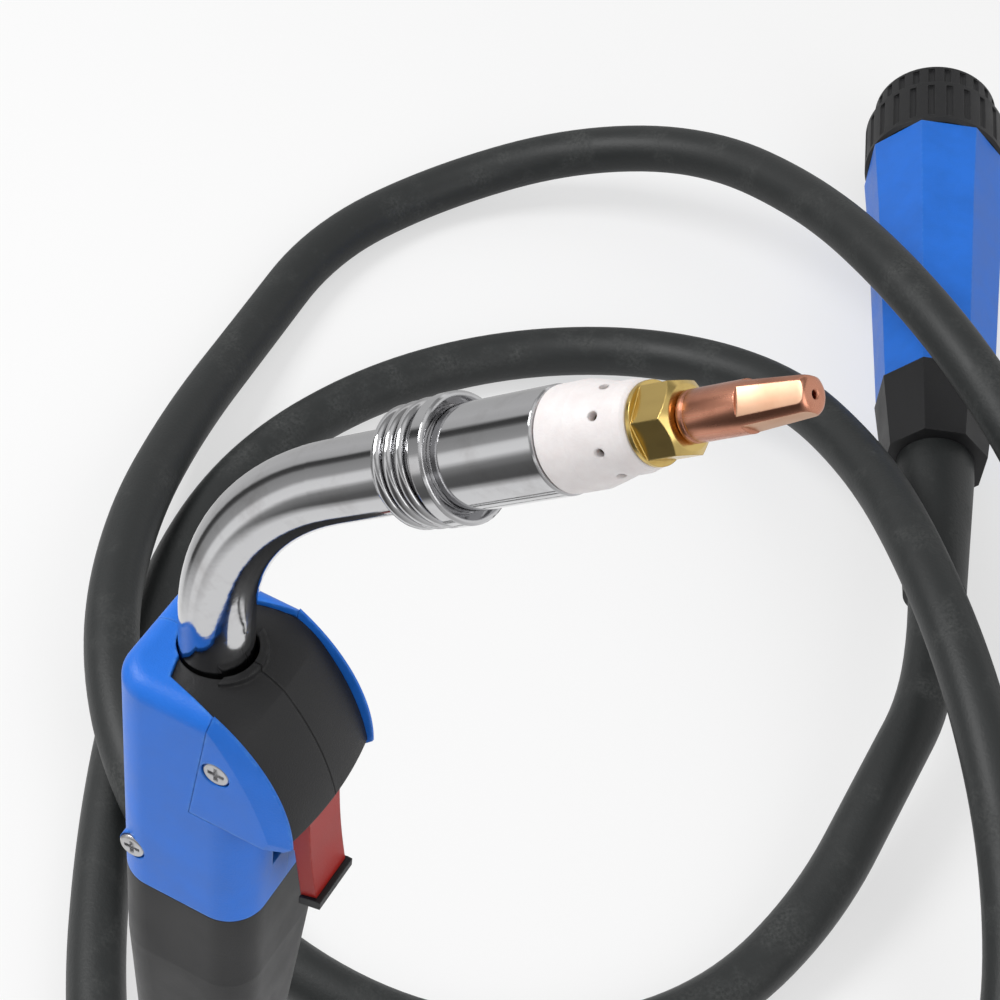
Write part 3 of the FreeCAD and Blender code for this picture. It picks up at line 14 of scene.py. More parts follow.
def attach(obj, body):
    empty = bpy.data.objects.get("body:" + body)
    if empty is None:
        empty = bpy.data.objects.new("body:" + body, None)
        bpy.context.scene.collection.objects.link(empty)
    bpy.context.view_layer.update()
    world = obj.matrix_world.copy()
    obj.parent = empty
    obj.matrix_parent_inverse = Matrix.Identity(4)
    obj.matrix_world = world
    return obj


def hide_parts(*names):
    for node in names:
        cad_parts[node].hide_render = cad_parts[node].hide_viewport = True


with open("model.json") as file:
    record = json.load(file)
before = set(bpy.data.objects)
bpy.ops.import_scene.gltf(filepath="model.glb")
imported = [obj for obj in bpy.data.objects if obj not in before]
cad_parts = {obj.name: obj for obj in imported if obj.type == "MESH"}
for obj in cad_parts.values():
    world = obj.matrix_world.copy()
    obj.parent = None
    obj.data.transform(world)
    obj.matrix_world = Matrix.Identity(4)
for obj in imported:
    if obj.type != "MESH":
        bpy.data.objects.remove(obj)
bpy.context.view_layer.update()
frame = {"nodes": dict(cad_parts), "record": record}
nodes = frame["nodes"]
scene = bpy.context.scene

# %% [markdown]
# ## Camera
# The picture looks down on the torch from its right, past the neck, with the cable on the bench behind.
# The camera could be tracked to a target, but a photograph's camera also has a tilt about its view.
# So its place, its look and its up direction are given, and the rotation is built from them.

# %% Camera
CAMERA_PLACE = Vector((0.15753, -0.25403, 0.45193))
CAMERA_LOOK = Vector((-0.25902, 0.62179, -0.73911))
CAMERA_UP = Vector((-0.40333, 0.62568, 0.66771))
SENSOR = 36.0
PICTURE = 1000.0
FOCAL_PIXELS = 2600.0

camera_data = bpy.data.cameras.new("camera")
camera = bpy.data.objects.new("camera", camera_data)
scene.collection.objects.link(camera)
back = -CAMERA_LOOK.normalized()
right = CAMERA_UP.cross(back).normalized()
up = back.cross(right)
camera.matrix_world = Matrix.Translation(CAMERA_PLACE) @ Matrix((right, up, back)).transposed().to_4x4()
camera_data.lens = FOCAL_PIXELS * SENSOR / PICTURE
camera_data.sensor_width = SENSOR
camera_data.clip_start = 0.01
scene.camera = camera
print("camera lens:", round(camera_data.lens, 1), "mm")

# %% [markdown]
# ## The cable
# A welding cable is a stiff rubber hose as thick as a thumb. It keeps its length and never kinks, so it
# lies in wide loose loops. One smooth spline through listed control points gives that. Its thickness
# is each point's radius under a bevel of one. The floor is one cable radius under its lowest points.

# %% Cable
CABLE_R = 0.00875
FLOOR = -0.220
LAY = FLOOR + CABLE_R
CABLE_EXIT = (0.0, 0.0, -0.086)
CABLE_ROUTE = [
    CABLE_EXIT, (0.0, 0.0, -0.1275),
    (0.015, 0.005, -0.166), (0.043, 0.016, -0.196), (0.080, 0.032, LAY), (0.118, 0.059, LAY),
    (0.148, 0.095, LAY), (0.161, 0.138, -0.204), (0.156, 0.182, -0.189), (0.135, 0.224, -0.170),
    (0.104, 0.266, -0.156), (0.068, 0.310, -0.156), (0.033, 0.355, -0.173), (-0.009, 0.386, -0.187),
    (-0.059, 0.391, -0.202), (-0.106, 0.370, LAY), (-0.138, 0.329, LAY), (-0.156, 0.280, LAY),
    (-0.156, 0.230, LAY), (-0.139, 0.176, LAY), (-0.113, 0.119, LAY), (-0.079, 0.062, LAY),
    (-0.035, 0.013, LAY), (0.018, -0.020, LAY), (0.075, -0.030, LAY), (0.129, -0.014, LAY),
    (0.171, 0.028, LAY), (0.197, 0.088, LAY), (0.203, 0.156, LAY), (0.193, 0.223, LAY),
    (0.169, 0.280, -0.200), (0.136, 0.324, -0.180), (0.098, 0.357, -0.160), (0.058, 0.385, -0.146),
    (0.015, 0.416, -0.146), (-0.030, 0.453, -0.161), (-0.082, 0.476, -0.178), (-0.133, 0.468, -0.197),
    (-0.173, 0.433, LAY), (-0.193, 0.382, LAY), (-0.189, 0.326, LAY), (-0.182, 0.271, -0.204),
    (-0.168, 0.216, -0.195), (-0.144, 0.166, -0.191), (-0.107, 0.127, -0.196), (-0.058, 0.105, -0.205),
    (-0.004, 0.104, LAY), (0.043, 0.123, LAY), (0.075, 0.159, LAY), (0.088, 0.204, -0.205),
    (0.088, 0.251, -0.196),
    (0.0876, 0.2943, -0.193), (0.0735, 0.3296, -0.193),
]


def cable_curve(name, route, radius):
    """A smooth tube whose spline has the route's points as control points."""
    curve = bpy.data.curves.new(name, "CURVE")
    curve.dimensions = "3D"
    spline = curve.splines.new("NURBS")
    spline.points.add(len(route) - 1)
    for point, place in zip(spline.points, route):
        point.co = (*place, 1.0)
        point.radius = radius
    spline.order_u = 3
    spline.use_endpoint_u = True
    spline.resolution_u = 10
    curve.bevel_depth = 1.0
    curve.bevel_resolution = 9
    curve.use_fill_caps = True
    piece = bpy.data.objects.new(name, curve)
    scene.collection.objects.link(piece)
    return piece


def curve_length(piece):
    """Length of a curve's centre line."""
    depth = piece.data.bevel_depth
    piece.data.bevel_depth = 0
    bpy.context.view_layer.update()
    line = bpy.data.meshes.new_from_object(piece.evaluated_get(bpy.context.evaluated_depsgraph_get()))
    ends = [(line.vertices[edge.vertices[0]].co, line.vertices[edge.vertices[1]].co) for edge in line.edges]
    total = sum((first - second).length for first, second in ends)
    piece.data.bevel_depth = depth
    return total


rubber_cable = cable_curve("rubber_cable", CABLE_ROUTE, CABLE_R)
cable_length = curve_length(rubber_cable)
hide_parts("cable")
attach(rubber_cable, "root")
print("cable:", round(cable_length, 3), "m")

# %% [markdown]
# ## Effects that several finishes share
# A real surface is never one flat value: mouldings have a fine grain, metal has streaks from the lathe,
# edges are rubbed. Each such effect could be drawn again in every finish. It is kept as a node group
# instead, built once, so that one finish differs from another only in its numbers.

# %% Helpers for node groups and finishes
def effect(name, inputs, outputs):
    """A shader node group with number inputs (a vector where no value is given) and named outputs."""
    tree = bpy.data.node_groups.new(name, "ShaderNodeTree")
    for label, value in inputs:
        kind = "NodeSocketVector" if value is None else "NodeSocketFloat"
        socket = tree.interface.new_socket(label, in_out="INPUT", socket_type=kind)
        if value is not None:
            socket.default_value = value
    for label in outputs:
        tree.interface.new_socket(label, in_out="OUTPUT", socket_type="NodeSocketFloat")
    return tree, tree.nodes.new("NodeGroupInput"), tree.nodes.new("NodeGroupOutput")


def math_node(tree, operation, first, second):
    """A Math node; each operand is a socket or a number."""
    node = tree.nodes.new("ShaderNodeMath")
    node.operation = operation
    for socket, operand in zip(node.inputs, (first, second)):
        if isinstance(operand, (int, float)):
            socket.default_value = operand
        else:
            tree.links.new(operand, socket)
    return node.outputs[0]


def spread(tree, value, low, high, new_low, new_high):
    """Maps a value from one range to another, clamped."""
    node = tree.nodes.new("ShaderNodeMapRange")
    tree.links.new(value, node.inputs["Value"])
    for label, number in (("From Min", low), ("From Max", high), ("To Min", new_low), ("To Max", new_high)):
        if isinstance(number, (int, float)):
            node.inputs[label].default_value = number
        else:
            tree.links.new(number, node.inputs[label])
    return node.outputs[0]


# %% [markdown]
# **Mottle** is a soft cloudy change, such as handling marks on a grip. Noise in Object coordinates is
# measured in metres, so a scale of 100 gives clouds a centimetre across on every piece alike.

# %% Mottle
mottle, given, result = effect("mottle", [("Vector", None), ("Scale", 100.0), ("Low", 0.35), ("High", 0.65)],
                               ["Amount"])
clouds = mottle.nodes.new("ShaderNodeTexNoise")
clouds.inputs["Detail"].default_value = 4.0
clouds.inputs["Roughness"].default_value = 0.6
mottle.links.new(given.outputs["Vector"], clouds.inputs["Vector"])
mottle.links.new(given.outputs["Scale"], clouds.inputs["Scale"])
mottle.links.new(spread(mottle, clouds.outputs["Fac"], given.outputs["Low"], given.outputs["High"], 0.0, 1.0),
                 result.inputs["Amount"])

# %% [markdown]
# **Streaks** are the lines that drawing, turning and wiping leave on metal. They are noise squeezed
# across the line and stretched along it. The piece's finish turns the coordinates first, so that local Z
# runs along the piece.

# %% Streaks
streaks, given, result = effect("streaks", [("Vector", None), ("Scale", 900.0), ("Along", 0.02)], ["Amount"])
squeeze = streaks.nodes.new("ShaderNodeCombineXYZ")
squeeze.inputs[0].default_value = 1.0
squeeze.inputs[1].default_value = 1.0
streaks.links.new(given.outputs["Along"], squeeze.inputs[2])
stretched = streaks.nodes.new("ShaderNodeVectorMath")
stretched.operation = "MULTIPLY"
streaks.links.new(given.outputs["Vector"], stretched.inputs[0])
streaks.links.new(squeeze.outputs[0], stretched.inputs[1])
lines = streaks.nodes.new("ShaderNodeTexNoise")
lines.inputs["Detail"].default_value = 3.0
streaks.links.new(stretched.outputs[0], lines.inputs["Vector"])
streaks.links.new(given.outputs["Scale"], lines.inputs["Scale"])
streaks.links.new(spread(streaks, lines.outputs["Fac"], 0.3, 0.7, 0.0, 1.0), result.inputs["Amount"])

# %% [markdown]
# ** Edge wear and painted highlight**: corners lose their grain and their colour first, and their pale tint
# is also a painted highlight, the light that a rounded edge catches. A rounded normal differs from the true
# one only near an edge, so the angle between them finds the edges, and noise breaks the line up.

# %% Edge wear
edge_wear_and_highlight, given, result = effect("edge_wear_and_highlight", [("Vector", None), ("Radius", 0.0006), ("Amount", 1.0)],
                                  ["Mask"])
rounded = edge_wear_and_highlight.nodes.new("ShaderNodeBevel")
rounded.samples = 4
edge_wear_and_highlight.links.new(given.outputs["Radius"], rounded.inputs["Radius"])
true_face = edge_wear_and_highlight.nodes.new("ShaderNodeNewGeometry")
turn = edge_wear_and_highlight.nodes.new("ShaderNodeVectorMath")
turn.operation = "DOT_PRODUCT"
edge_wear_and_highlight.links.new(rounded.outputs[0], turn.inputs[0])
edge_wear_and_highlight.links.new(true_face.outputs["Normal"], turn.inputs[1])
near_edge = spread(edge_wear_and_highlight, turn.outputs["Value"], 0.98, 0.85, 0.0, 1.0)
chips = edge_wear_and_highlight.nodes.new("ShaderNodeTexNoise")
chips.inputs["Scale"].default_value = 700.0
edge_wear_and_highlight.links.new(given.outputs["Vector"], chips.inputs["Vector"])
broken = spread(edge_wear_and_highlight, chips.outputs["Fac"], 0.45, 0.65, 0.15, 1.0)
edge_wear_and_highlight.links.new(math_node(edge_wear_and_highlight, "MULTIPLY", math_node(edge_wear_and_highlight, "MULTIPLY", near_edge, broken),
                              given.outputs["Amount"]), result.inputs["Mask"])

# %% [markdown]
# ** Seam**: two mouldings that meet leave a fine line, and shade falls into the gap. That line is painted
# shade here. The cover's halves meet on the torch's middle plane, where Object Y is zero, so the distance
# from that plane draws the line.

# %% Seam
seam, given, result = effect("seam", [("Vector", None), ("Width", 0.0003), ("Amount", 1.0)], ["Mask"])
axes = seam.nodes.new("ShaderNodeSeparateXYZ")
seam.links.new(given.outputs["Vector"], axes.inputs[0])
distance = math_node(seam, "ABSOLUTE", axes.outputs["Y"], 0.0)
line = spread(seam, distance, 0.0, given.outputs["Width"], 1.0, 0.0)
seam.links.new(math_node(seam, "MULTIPLY", line, given.outputs["Amount"]), result.inputs["Mask"])
print("effects:", [group.name for group in bpy.data.node_groups])

# %% [markdown]
# ## Finishes
# A finish starts from a Principled shader. Numbers that are the same all over are set on its sockets.
# What changes over the surface comes from the effects. A rounded normal softens every sharp CAD edge, as
# a mould or a file does, without a change to the mesh.

# %% Helpers for finishes
def new_material(name):
    """An empty node material with its tree and its Principled shader."""
    material = bpy.data.materials.new(name)
    material.use_nodes = True
    tree = material.node_tree
    return material, tree, tree.nodes["Principled BSDF"]


def object_place(tree, turn_y=0.0):
    """Object coordinates, turned about Y so that local Z runs along a tilted piece."""
    place = tree.nodes.new("ShaderNodeTexCoord")
    mapping = tree.nodes.new("ShaderNodeMapping")
    mapping.vector_type = "TEXTURE"
    mapping.inputs["Rotation"].default_value = (0.0, math.radians(turn_y), 0.0)
    tree.links.new(place.outputs["Object"], mapping.inputs["Vector"])
    return mapping.outputs[0]


def use(tree, group, vector, **values):
    """Places an effect in a finish and returns its output."""
    node = tree.nodes.new("ShaderNodeGroup")
    node.node_tree = group
    tree.links.new(vector, node.inputs["Vector"])
    for label, value in values.items():
        node.inputs[label].default_value = value
    return node.outputs[0]


def mixed(tree, share, first, second):
    """A colour between two, each a socket or three numbers."""
    node = tree.nodes.new("ShaderNodeMix")
    node.data_type = "RGBA"
    tree.links.new(share, node.inputs["Factor"])
    for label, colour in (("A", first), ("B", second)):
        socket = [s for s in node.inputs if s.name == label and s.type == "RGBA"][0]
        if isinstance(colour, tuple):
            socket.default_value = (*colour, 1.0)
        else:
            tree.links.new(colour, socket)
    return [s for s in node.outputs if s.type == "RGBA"][0]


def raised(tree, shader, height, depth, edge_radius):
    """Bump from a height, on top of edges that look rounded."""
    bump = tree.nodes.new("ShaderNodeBump")
    bump.inputs["Strength"].default_value = 1.0
    bump.inputs["Distance"].default_value = depth
    tree.links.new(height, bump.inputs["Height"])
    if edge_radius:
        rounded = tree.nodes.new("ShaderNodeBevel")
        rounded.samples = 4
        rounded.inputs["Radius"].default_value = edge_radius
        tree.links.new(rounded.outputs[0], bump.inputs["Normal"])
    tree.links.new(bump.outputs[0], shader.inputs["Normal"])


# %% [markdown]
# ### Moulded plastic
# The blue shells, the black cover and the red trigger are nylon from steel moulds. The mould is spark
# eroded, which leaves a fine even grain and a satin shine. Handling polishes patches of it, and the
# corners go pale, partly from wear and partly as a painted highlight. One recipe makes all three, with its
# own colours.

# %% Moulded plastic
GRAIN_DEPTH = 0.00003
SEAM_WIDTH = 0.00035


def moulded_plastic(name, colour, pale, roughness, polish, edge_radius, seam_shade=0.0):
    """Satin plastic with spark grain, polished patches, pale corners of wear and painted highlight, and
    painted shade along its centre seam.
    """
    material, tree, shader = new_material(name)
    place = object_place(tree)
    clouds = use(tree, mottle, place, Scale=70.0, Low=0.35, High=0.7)
    # Pale corners: edge wear, and also a painted highlight where a rounded edge would catch the light.
    worn_and_highlit = use(tree, edge_wear_and_highlight, place, Radius=2 * edge_radius, Amount=0.35)
    shade = mixed(tree, clouds, colour, tuple(0.86 * c for c in colour))
    tinted = mixed(tree, worn_and_highlit, shade, pale)
    grain = use(tree, mottle, place, Scale=2600.0, Low=0.3, High=0.7)
    # Painted shade: a near-black line along the centre seam, where shade falls in the gap between the halves.
    if seam_shade:
        seam_shaded = use(tree, seam, place, Width=SEAM_WIDTH, Amount=seam_shade)
        tinted = mixed(tree, seam_shaded, tinted, (0.001, 0.001, 0.001))
        grain = math_node(tree, "SUBTRACT", grain, math_node(tree, "MULTIPLY", seam_shaded, 6.0))
    tree.links.new(tinted, shader.inputs["Base Color"])
    tree.links.new(spread(tree, clouds, 0.0, 1.0, roughness, roughness - polish), shader.inputs["Roughness"])
    shader.inputs["Specular IOR Level"].default_value = 0.3
    raised(tree, shader, grain, GRAIN_DEPTH, edge_radius)
    return material


blue_plastic = moulded_plastic("blue_plastic", (0.016, 0.170, 0.72), (0.14, 0.42, 0.90), 0.42, 0.10, 0.0006)
black_plastic = moulded_plastic("black_plastic", (0.016, 0.016, 0.017), (0.07, 0.07, 0.07), 0.50, 0.10,
                                0.0005)
# The cover takes painted shade along the seam between its halves.
cover_plastic = moulded_plastic("cover_plastic", (0.018, 0.018, 0.019), (0.09, 0.09, 0.09), 0.50, 0.10,
                                0.0006, seam_shade=0.9)
red_plastic = moulded_plastic("red_plastic", (0.36, 0.014, 0.010), (0.62, 0.12, 0.09), 0.40, 0.08, 0.0005)
insulation = moulded_plastic("insulation", (0.70, 0.62, 0.50), (0.80, 0.75, 0.66), 0.55, 0.05, 0.0003)
lead_plastic = moulded_plastic("lead_plastic", (0.62, 0.60, 0.08), (0.75, 0.74, 0.30), 0.35, 0.05, 0.0002)

# %% [markdown]
# ### Metals
# The neck is chromed brass, the holder is turned brass, the tip is copper. Metal takes its look from what
# it mirrors, so its roughness matters more than its colour: streaks from drawing and wiping, a few dull
# clouds where heat or spatter has been.

# %% Metals
NECK_BEND = 50.0
STREAK_DEPTH = 0.000004
METAL_EDGE = 0.0003


def worked_metal(name, colour, stained, roughness, dull, turn_y, scale=900.0):
    """Metal with streaks along the piece and faint stains."""
    material, tree, shader = new_material(name)
    place = object_place(tree, turn_y)
    stains = use(tree, mottle, place, Scale=120.0, Low=0.50, High=0.85)
    lined = use(tree, streaks, place, Scale=scale, Along=0.03)
    shader.inputs["Metallic"].default_value = 1.0
    tree.links.new(mixed(tree, stains, colour, stained), shader.inputs["Base Color"])
    rubbed = spread(tree, lined, 0.0, 1.0, roughness, roughness + 0.5 * dull)
    clouded = spread(tree, stains, 0.0, 1.0, 0.0, 0.5 * dull)
    tree.links.new(math_node(tree, "ADD", rubbed, clouded), shader.inputs["Roughness"])
    raised(tree, shader, lined, STREAK_DEPTH, METAL_EDGE)
    return material


chrome = worked_metal("chrome", (0.58, 0.58, 0.59), (0.44, 0.43, 0.43), 0.06, 0.08, NECK_BEND)
brass = worked_metal("brass", (0.66, 0.48, 0.17), (0.44, 0.29, 0.08), 0.18, 0.14, NECK_BEND, scale=500.0)
copper = worked_metal("copper", (0.58, 0.26, 0.17), (0.34, 0.13, 0.08), 0.22, 0.16, NECK_BEND, scale=600.0)
milled_copper = worked_metal("milled_copper", (0.68, 0.42, 0.28), (0.58, 0.32, 0.20), 0.36, 0.14, NECK_BEND,
                             scale=350.0)
steel = worked_metal("steel", (0.56, 0.56, 0.57), (0.36, 0.35, 0.34), 0.26, 0.14, 0.0)

# %% [markdown]
# ### Ceramic
# The gas diffuser is fired white ceramic. It is matt, faintly warm, and a little dusty in its hollows. Its
# shine is low and broad, so a flat white would look like paper: small pits and soft clouds give it body.

# %% Ceramic
ceramic, tree, shader = new_material("fired_ceramic")
place = object_place(tree)
clouds = use(tree, mottle, place, Scale=260.0, Low=0.3, High=0.7)
tree.links.new(mixed(tree, clouds, (0.82, 0.785, 0.78), (0.75, 0.70, 0.695)), shader.inputs["Base Color"])
tree.links.new(spread(tree, clouds, 0.0, 1.0, 0.42, 0.55), shader.inputs["Roughness"])
shader.inputs["Subsurface Weight"].default_value = 0.15
shader.inputs["Subsurface Radius"].default_value = (0.002, 0.0015, 0.0013)
shader.inputs["Subsurface Scale"].default_value = 1.0
raised(tree, shader, use(tree, mottle, place, Scale=3000.0, Low=0.35, High=0.6), 0.00002, 0.0005)

# %% [markdown]
# ### Rubber
# The cable's sheath is black rubber that has been dragged over floors: matt, with grey scuffs. The scuffs
# are a cloudy mask over a fine pitted surface.

# %% Rubber
def scuffed_rubber(name, edge_radius):
    """Matt black rubber with grey scuffs."""
    material, tree, shader = new_material(name)
    place = object_place(tree)
    scuffs = use(tree, mottle, place, Scale=55.0, Low=0.50, High=0.80)
    fine = use(tree, mottle, place, Scale=900.0, Low=0.35, High=0.7)
    dusty = math_node(tree, "MULTIPLY", scuffs, fine)
    shade = mixed(tree, dusty, (0.014, 0.016, 0.016), (0.075, 0.078, 0.076))
    tree.links.new(shade, shader.inputs["Base Color"])
    tree.links.new(spread(tree, scuffs, 0.0, 1.0, 0.50, 0.72), shader.inputs["Roughness"])
    raised(tree, shader, fine, 0.00004, edge_radius)
    return material


black_rubber = scuffed_rubber("black_rubber", 0.0005)
cable_rubber = scuffed_rubber("cable_rubber", 0.0)
rubber_cable.data.materials.append(cable_rubber)

# %% [markdown]
# ## The contact tip
# The tip is turned from copper rod: a cylinder, a cone with a domed end, and a fine bore for the wire.
# Four flats are then milled on the cone for a spanner, and each starts with a small step. The rod could
# be modelled whole, but it is made as the lathe makes it. A ring of points is extruded and resized along
# the profile, then four cutters take the flats off, and a small bevel breaks the edges.

# %% A lathe
MM = 0.001
FRONT_PLACE = Matrix.Translation((0.04541, 0.0, 0.15609)) @ Matrix.Rotation(math.radians(NECK_BEND), 4, "Y")


def lathe(name, profile, steps=96):
    """A closed turned piece about Z from (radius, height) points in mm, in metres."""
    bpy.ops.object.select_all(action="DESELECT")
    first_radius, first_height = profile[0]
    bpy.ops.mesh.primitive_circle_add(vertices=steps, radius=first_radius * MM, location=(0, 0, 0))
    piece = bpy.context.object
    piece.name = name
    bpy.ops.object.mode_set(mode="EDIT")
    bpy.ops.mesh.select_all(action="SELECT")
    for (radius, height), (next_radius, next_height) in zip(profile, profile[1:] + profile[:1]):
        rise = {"value": (0, 0, (next_height - height) * MM)}
        bpy.ops.mesh.extrude_region_move(TRANSFORM_OT_translate=rise)
        factor = next_radius / radius
        bpy.ops.transform.resize(value=(factor, factor, 1), center_override=(0, 0, 0))
    bpy.ops.mesh.select_all(action="SELECT")
    bpy.ops.mesh.remove_doubles(threshold=1e-6)
    bpy.ops.mesh.normals_make_consistent(inside=False)
    bpy.ops.object.mode_set(mode="OBJECT")
    piece.data.transform(Matrix.Translation((0, 0, first_height * MM)))
    return piece


def apply_all(piece):
    """Applies every modifier of a piece."""
    bpy.ops.object.select_all(action="DESELECT")
    piece.select_set(True)
    bpy.context.view_layer.objects.active = piece
    for modifier in list(piece.modifiers):
        bpy.ops.object.modifier_apply(modifier=modifier.name)


# %% Tip profile
THREAD_START = 38.45
THREAD_R = 3.0
TIP_START = 44.55
TIP_R = 4.0
START_CHAMFER = 0.5
GROOVE_DEPTH = 0.16
CONE_START = 55.5
CONE_END_R = 3.17
TIP_END = 66.8
BORE = 0.6
MOUTH_CHAMFER = 0.2
tip = lathe("tip", [
    (BORE, THREAD_START), (THREAD_R, THREAD_START), (THREAD_R, TIP_START),
    (TIP_R - START_CHAMFER, TIP_START), (TIP_R, TIP_START + START_CHAMFER),
    (TIP_R, TIP_START + 1.3), (TIP_R - GROOVE_DEPTH, TIP_START + 1.4),
    (TIP_R - GROOVE_DEPTH, TIP_START + 1.6), (TIP_R, TIP_START + 1.7),
    (TIP_R, CONE_START), (CONE_END_R, TIP_END - 1.1),
    (CONE_END_R - 0.08, TIP_END - 0.72), (CONE_END_R - 0.27, TIP_END - 0.4),
    (CONE_END_R - 0.6, TIP_END - 0.14), (CONE_END_R - 1.05, TIP_END),
    (BORE + MOUTH_CHAMFER, TIP_END), (BORE, TIP_END - MOUTH_CHAMFER),
])
print("tip:", len(tip.data.vertices), "points")

# %% Milled flats
FLATS = 4
FLAT_TURN = 42
FLAT_START = 3.35
FLAT_END = 2.62
EDGE_BREAK = 0.07
CONE = TIP_END - CONE_START
slope = math.atan2(FLAT_START - FLAT_END, CONE)
flat_normals = []
for index in range(FLATS):
    bpy.ops.mesh.primitive_cube_add(size=1, location=(0, 0, 0))
    cutter = bpy.context.object
    around_axis = Matrix.Rotation(math.radians(FLAT_TURN - 90 + 360 * index / FLATS), 4, "Z")
    lean = Matrix.Translation((FLAT_START * MM, 0, CONE_START * MM)) @ Matrix.Rotation(-slope, 4, "Y")
    block = Matrix.Translation((TIP_R * MM / 2, 0, 0.6 * CONE * MM)) @ Matrix.Diagonal(
        (TIP_R * MM, 3 * TIP_R * MM, 1.2 * CONE * MM, 1))  # 3 and 1.2: past the cone on every side
    cutter.data.transform(around_axis @ lean @ block)
    flat_normals.append((around_axis @ lean).to_3x3() @ Vector((1, 0, 0)))
    cut = tip.modifiers.new("flat", "BOOLEAN")
    cut.operation = "DIFFERENCE"
    cut.solver = "EXACT"
    cut.object = cutter
    apply_all(tip)
    bpy.data.objects.remove(cutter)
broken_edges = tip.modifiers.new("broken_edges", "BEVEL")
broken_edges.width = EDGE_BREAK * MM
broken_edges.segments = 2
broken_edges.limit_method = "ANGLE"
broken_edges.angle_limit = math.radians(30)
apply_all(tip)
tip.data.materials.append(copper)
tip.data.materials.append(milled_copper)
for face in tip.data.polygons:
    if max(face.normal.dot(normal) for normal in flat_normals) > 0.9995 and face.center.z > CONE_START * MM:
        face.material_index = 1
bpy.ops.object.shade_smooth_by_angle(angle=math.radians(25))
tip.data.transform(FRONT_PLACE)
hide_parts("contact_tip")
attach(tip, "root")
print("tip:", len(tip.data.polygons), "faces, milled", sum(f.material_index for f in tip.data.polygons))

# %% [markdown]
# Each CAD node keeps its mesh and takes the finish of its slot in the record.

# %% Dress the frame's nodes
finishes = {
    "chrome": chrome, "brass": brass, "copper": copper, "steel": steel, "ceramic_white": ceramic,
    "blue_plastic": blue_plastic, "black_plastic": black_plastic, "red_plastic": red_plastic,
    "insulation": insulation, "lead_plastic": lead_plastic, "black_rubber": black_rubber,
}
special = {"front_cover_left": cover_plastic, "front_cover_right": cover_plastic}
for part in frame["record"]["subparts"]:
    finish = special.get(part["node"], finishes[part["material_slot"]])
    for material_slot in nodes[part["node"]].material_slots:
        material_slot.material = finish
print("dressed", len(nodes), "nodes in", len(finishes), "finishes")

# %% [markdown]
# ## Floor and light
# A product picture has a white floor that runs out of the picture, and large soft lamps. The floor is one
# plane that the camera sees as nearly white, and it still takes a soft shadow. Far out it fades to full
# white, so that its rim isn't seen. Polished metal needs something dark to mirror as well, or chrome looks
# like plaster. So mirrors see white paper round the torch, and beyond it a light tent: white and grey
# panels side by side, with dark gaps between them.

# %% The tent that mirrors see
tent = bpy.data.node_groups.new("tent", "ShaderNodeTree")
tent.interface.new_socket("Vector", in_out="INPUT", socket_type="NodeSocketVector")
tent.interface.new_socket("Color", in_out="OUTPUT", socket_type="NodeSocketColor")
given = tent.nodes.new("NodeGroupInput")
result = tent.nodes.new("NodeGroupOutput")
round_about = tent.nodes.new("ShaderNodeTexGradient")
round_about.gradient_type = "RADIAL"
tent.links.new(given.outputs[0], round_about.inputs[0])
PANELS = [(0.0, 0.06), (0.012, 0.10), (0.024, 0.34), (0.070, 0.42), (0.085, 0.95), (0.118, 1.0),
          (0.135, 0.32), (0.165, 0.14), (0.25, 0.07), (0.40, 0.50), (0.60, 0.90), (0.84, 0.50),
          (0.93, 0.62), (0.975, 0.55), (0.988, 0.07), (1.0, 0.06)]


def grey_ramp(tree, value, stops):
    """A colour ramp of greys through (position, grey) stops."""
    ramp = tree.nodes.new("ShaderNodeValToRGB")
    elements = ramp.color_ramp.elements
    for index, (position, grey) in enumerate(stops):
        stop = elements[index] if index < 2 else elements.new(position)
        stop.position = position
        stop.color = (grey, grey, grey, 1)
    tree.links.new(value, ramp.inputs[0])
    return ramp.outputs[0]


tent.links.new(grey_ramp(tent, round_about.outputs["Fac"], PANELS), result.inputs[0])

# %% Floor
bpy.ops.object.select_all(action="DESELECT")
bpy.ops.mesh.primitive_plane_add(size=6.0, location=(0.0, 0.0, FLOOR))
floor = bpy.context.object
floor.name = "floor"
# Share of plain white in what the camera sees, the distances over which that grows to all of it, and the
# distances over which mirrors see the paper give way to the tent.
FLOOR_LIFT = 0.62
FLOOR_FADE = (0.9, 2.2)
PAPER_REACH = (0.26, 0.40)

paper, tree, shader = new_material("studio_paper")
shader.inputs["Base Color"].default_value = (0.93, 0.93, 0.93, 1)
shader.inputs["Roughness"].default_value = 0.9
shader.inputs["Specular IOR Level"].default_value = 0.1
place = tree.nodes.new("ShaderNodeTexCoord")
reach = tree.nodes.new("ShaderNodeVectorMath")
reach.operation = "LENGTH"
tree.links.new(place.outputs["Object"], reach.inputs[0])
panels = tree.nodes.new("ShaderNodeGroup")
panels.node_tree = tent
tree.links.new(place.outputs["Object"], panels.inputs[0])
path = tree.nodes.new("ShaderNodeLightPath")
beyond = spread(tree, reach.outputs["Value"], *PAPER_REACH, 0.0, 1.0)
beyond_mirrored = math_node(tree, "MULTIPLY", beyond, path.outputs["Is Glossy Ray"])
fade = spread(tree, reach.outputs["Value"], *FLOOR_FADE, 0.0, 1.0)
white_paper = mixed(tree, fade, (0.95, 0.95, 0.95), (1.0, 1.0, 1.0))
glow = tree.nodes.new("ShaderNodeEmission")
tree.links.new(mixed(tree, beyond_mirrored, white_paper, panels.outputs[0]), glow.inputs["Color"])
share = spread(tree, fade, 0.0, 1.0, FLOOR_LIFT, 1.0)
lift = math_node(tree, "MULTIPLY", path.outputs["Is Camera Ray"], share)
blend = tree.nodes.new("ShaderNodeMixShader")
tree.links.new(math_node(tree, "MAXIMUM", lift, path.outputs["Is Glossy Ray"]), blend.inputs[0])
tree.links.new(shader.outputs[0], blend.inputs[1])
tree.links.new(glow.outputs[0], blend.inputs[2])
tree.links.new(blend.outputs[0], tree.nodes["Material Output"].inputs["Surface"])
floor.data.materials.append(paper)

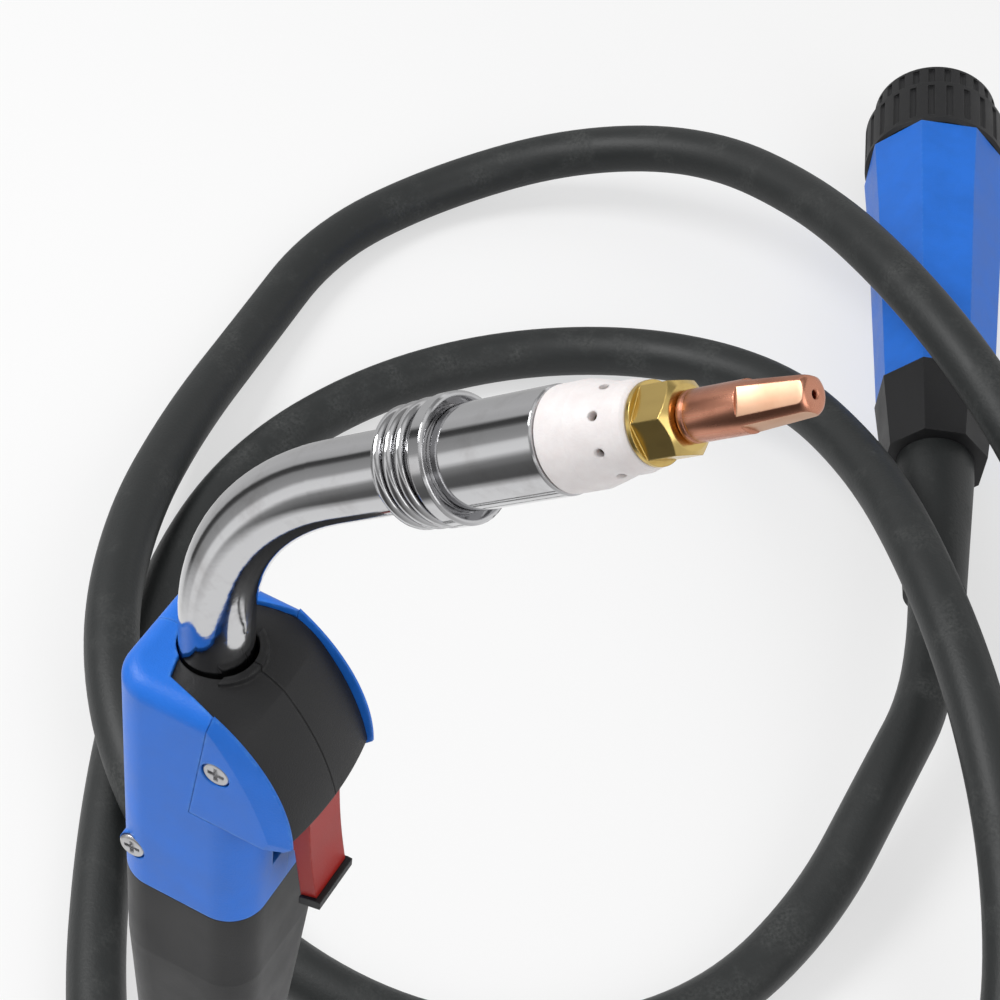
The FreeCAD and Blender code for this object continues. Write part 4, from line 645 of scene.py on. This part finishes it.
# %% World
ROOM_LIGHT = 0.55
ABOVE = (0.30, 0.45)
OVERHEAD = [(0.0, 0.9), (0.50, 0.95), (0.58, 0.30), (0.80, 0.35), (0.92, 0.85), (1.0, 0.80)]
world = bpy.data.worlds.new("studio")
scene.world = world
world.use_nodes = True
tree = world.node_tree
soft_light = tree.nodes["Background"]
soft_light.inputs["Strength"].default_value = ROOM_LIGHT
soft_light.inputs["Color"].default_value = (1, 1, 1, 1)
white = tree.nodes.new("ShaderNodeBackground")
white.inputs["Color"].default_value = (1, 1, 1, 1)
room = tree.nodes.new("ShaderNodeBackground")
direction = tree.nodes.new("ShaderNodeTexCoord")
panels = tree.nodes.new("ShaderNodeGroup")
panels.node_tree = tent
tree.links.new(direction.outputs["Generated"], panels.inputs[0])
split = tree.nodes.new("ShaderNodeSeparateXYZ")
tree.links.new(direction.outputs["Generated"], split.inputs[0])
overhead = grey_ramp(tree, split.outputs["Z"], OVERHEAD)
above = spread(tree, split.outputs["Z"], *ABOVE, 0.0, 1.0)
tree.links.new(mixed(tree, above, panels.outputs[0], overhead), room.inputs["Color"])
path = tree.nodes.new("ShaderNodeLightPath")
mirrored = tree.nodes.new("ShaderNodeMixShader")
tree.links.new(path.outputs["Is Glossy Ray"], mirrored.inputs[0])
tree.links.new(soft_light.outputs[0], mirrored.inputs[1])
tree.links.new(room.outputs[0], mirrored.inputs[2])
seen = tree.nodes.new("ShaderNodeMixShader")
tree.links.new(path.outputs["Is Camera Ray"], seen.inputs[0])
tree.links.new(mirrored.outputs[0], seen.inputs[1])
tree.links.new(white.outputs[0], seen.inputs[2])
tree.links.new(seen.outputs[0], tree.nodes["World Output"].inputs["Surface"])


# %% Lamps
def soft_lamp(name, place, target, size, power):
    """A square area lamp that faces a target."""
    data = bpy.data.lights.new(name, "AREA")
    data.size = size
    data.energy = power
    lamp = bpy.data.objects.new(name, data)
    scene.collection.objects.link(lamp)
    aim = Vector(target) - Vector(place)
    lamp.matrix_world = Matrix.Translation(place) @ aim.to_track_quat("-Z", "Y").to_matrix().to_4x4()


LAMP_TARGET = (0.0, 0.15, 0.0)
soft_lamp("key_lamp", (-0.9, -0.2, 1.0), LAMP_TARGET, 0.6, 13)
soft_lamp("fill_lamp", (1.0, -0.2, 0.8), LAMP_TARGET, 0.9, 4)
scene.view_settings.view_transform = "Standard"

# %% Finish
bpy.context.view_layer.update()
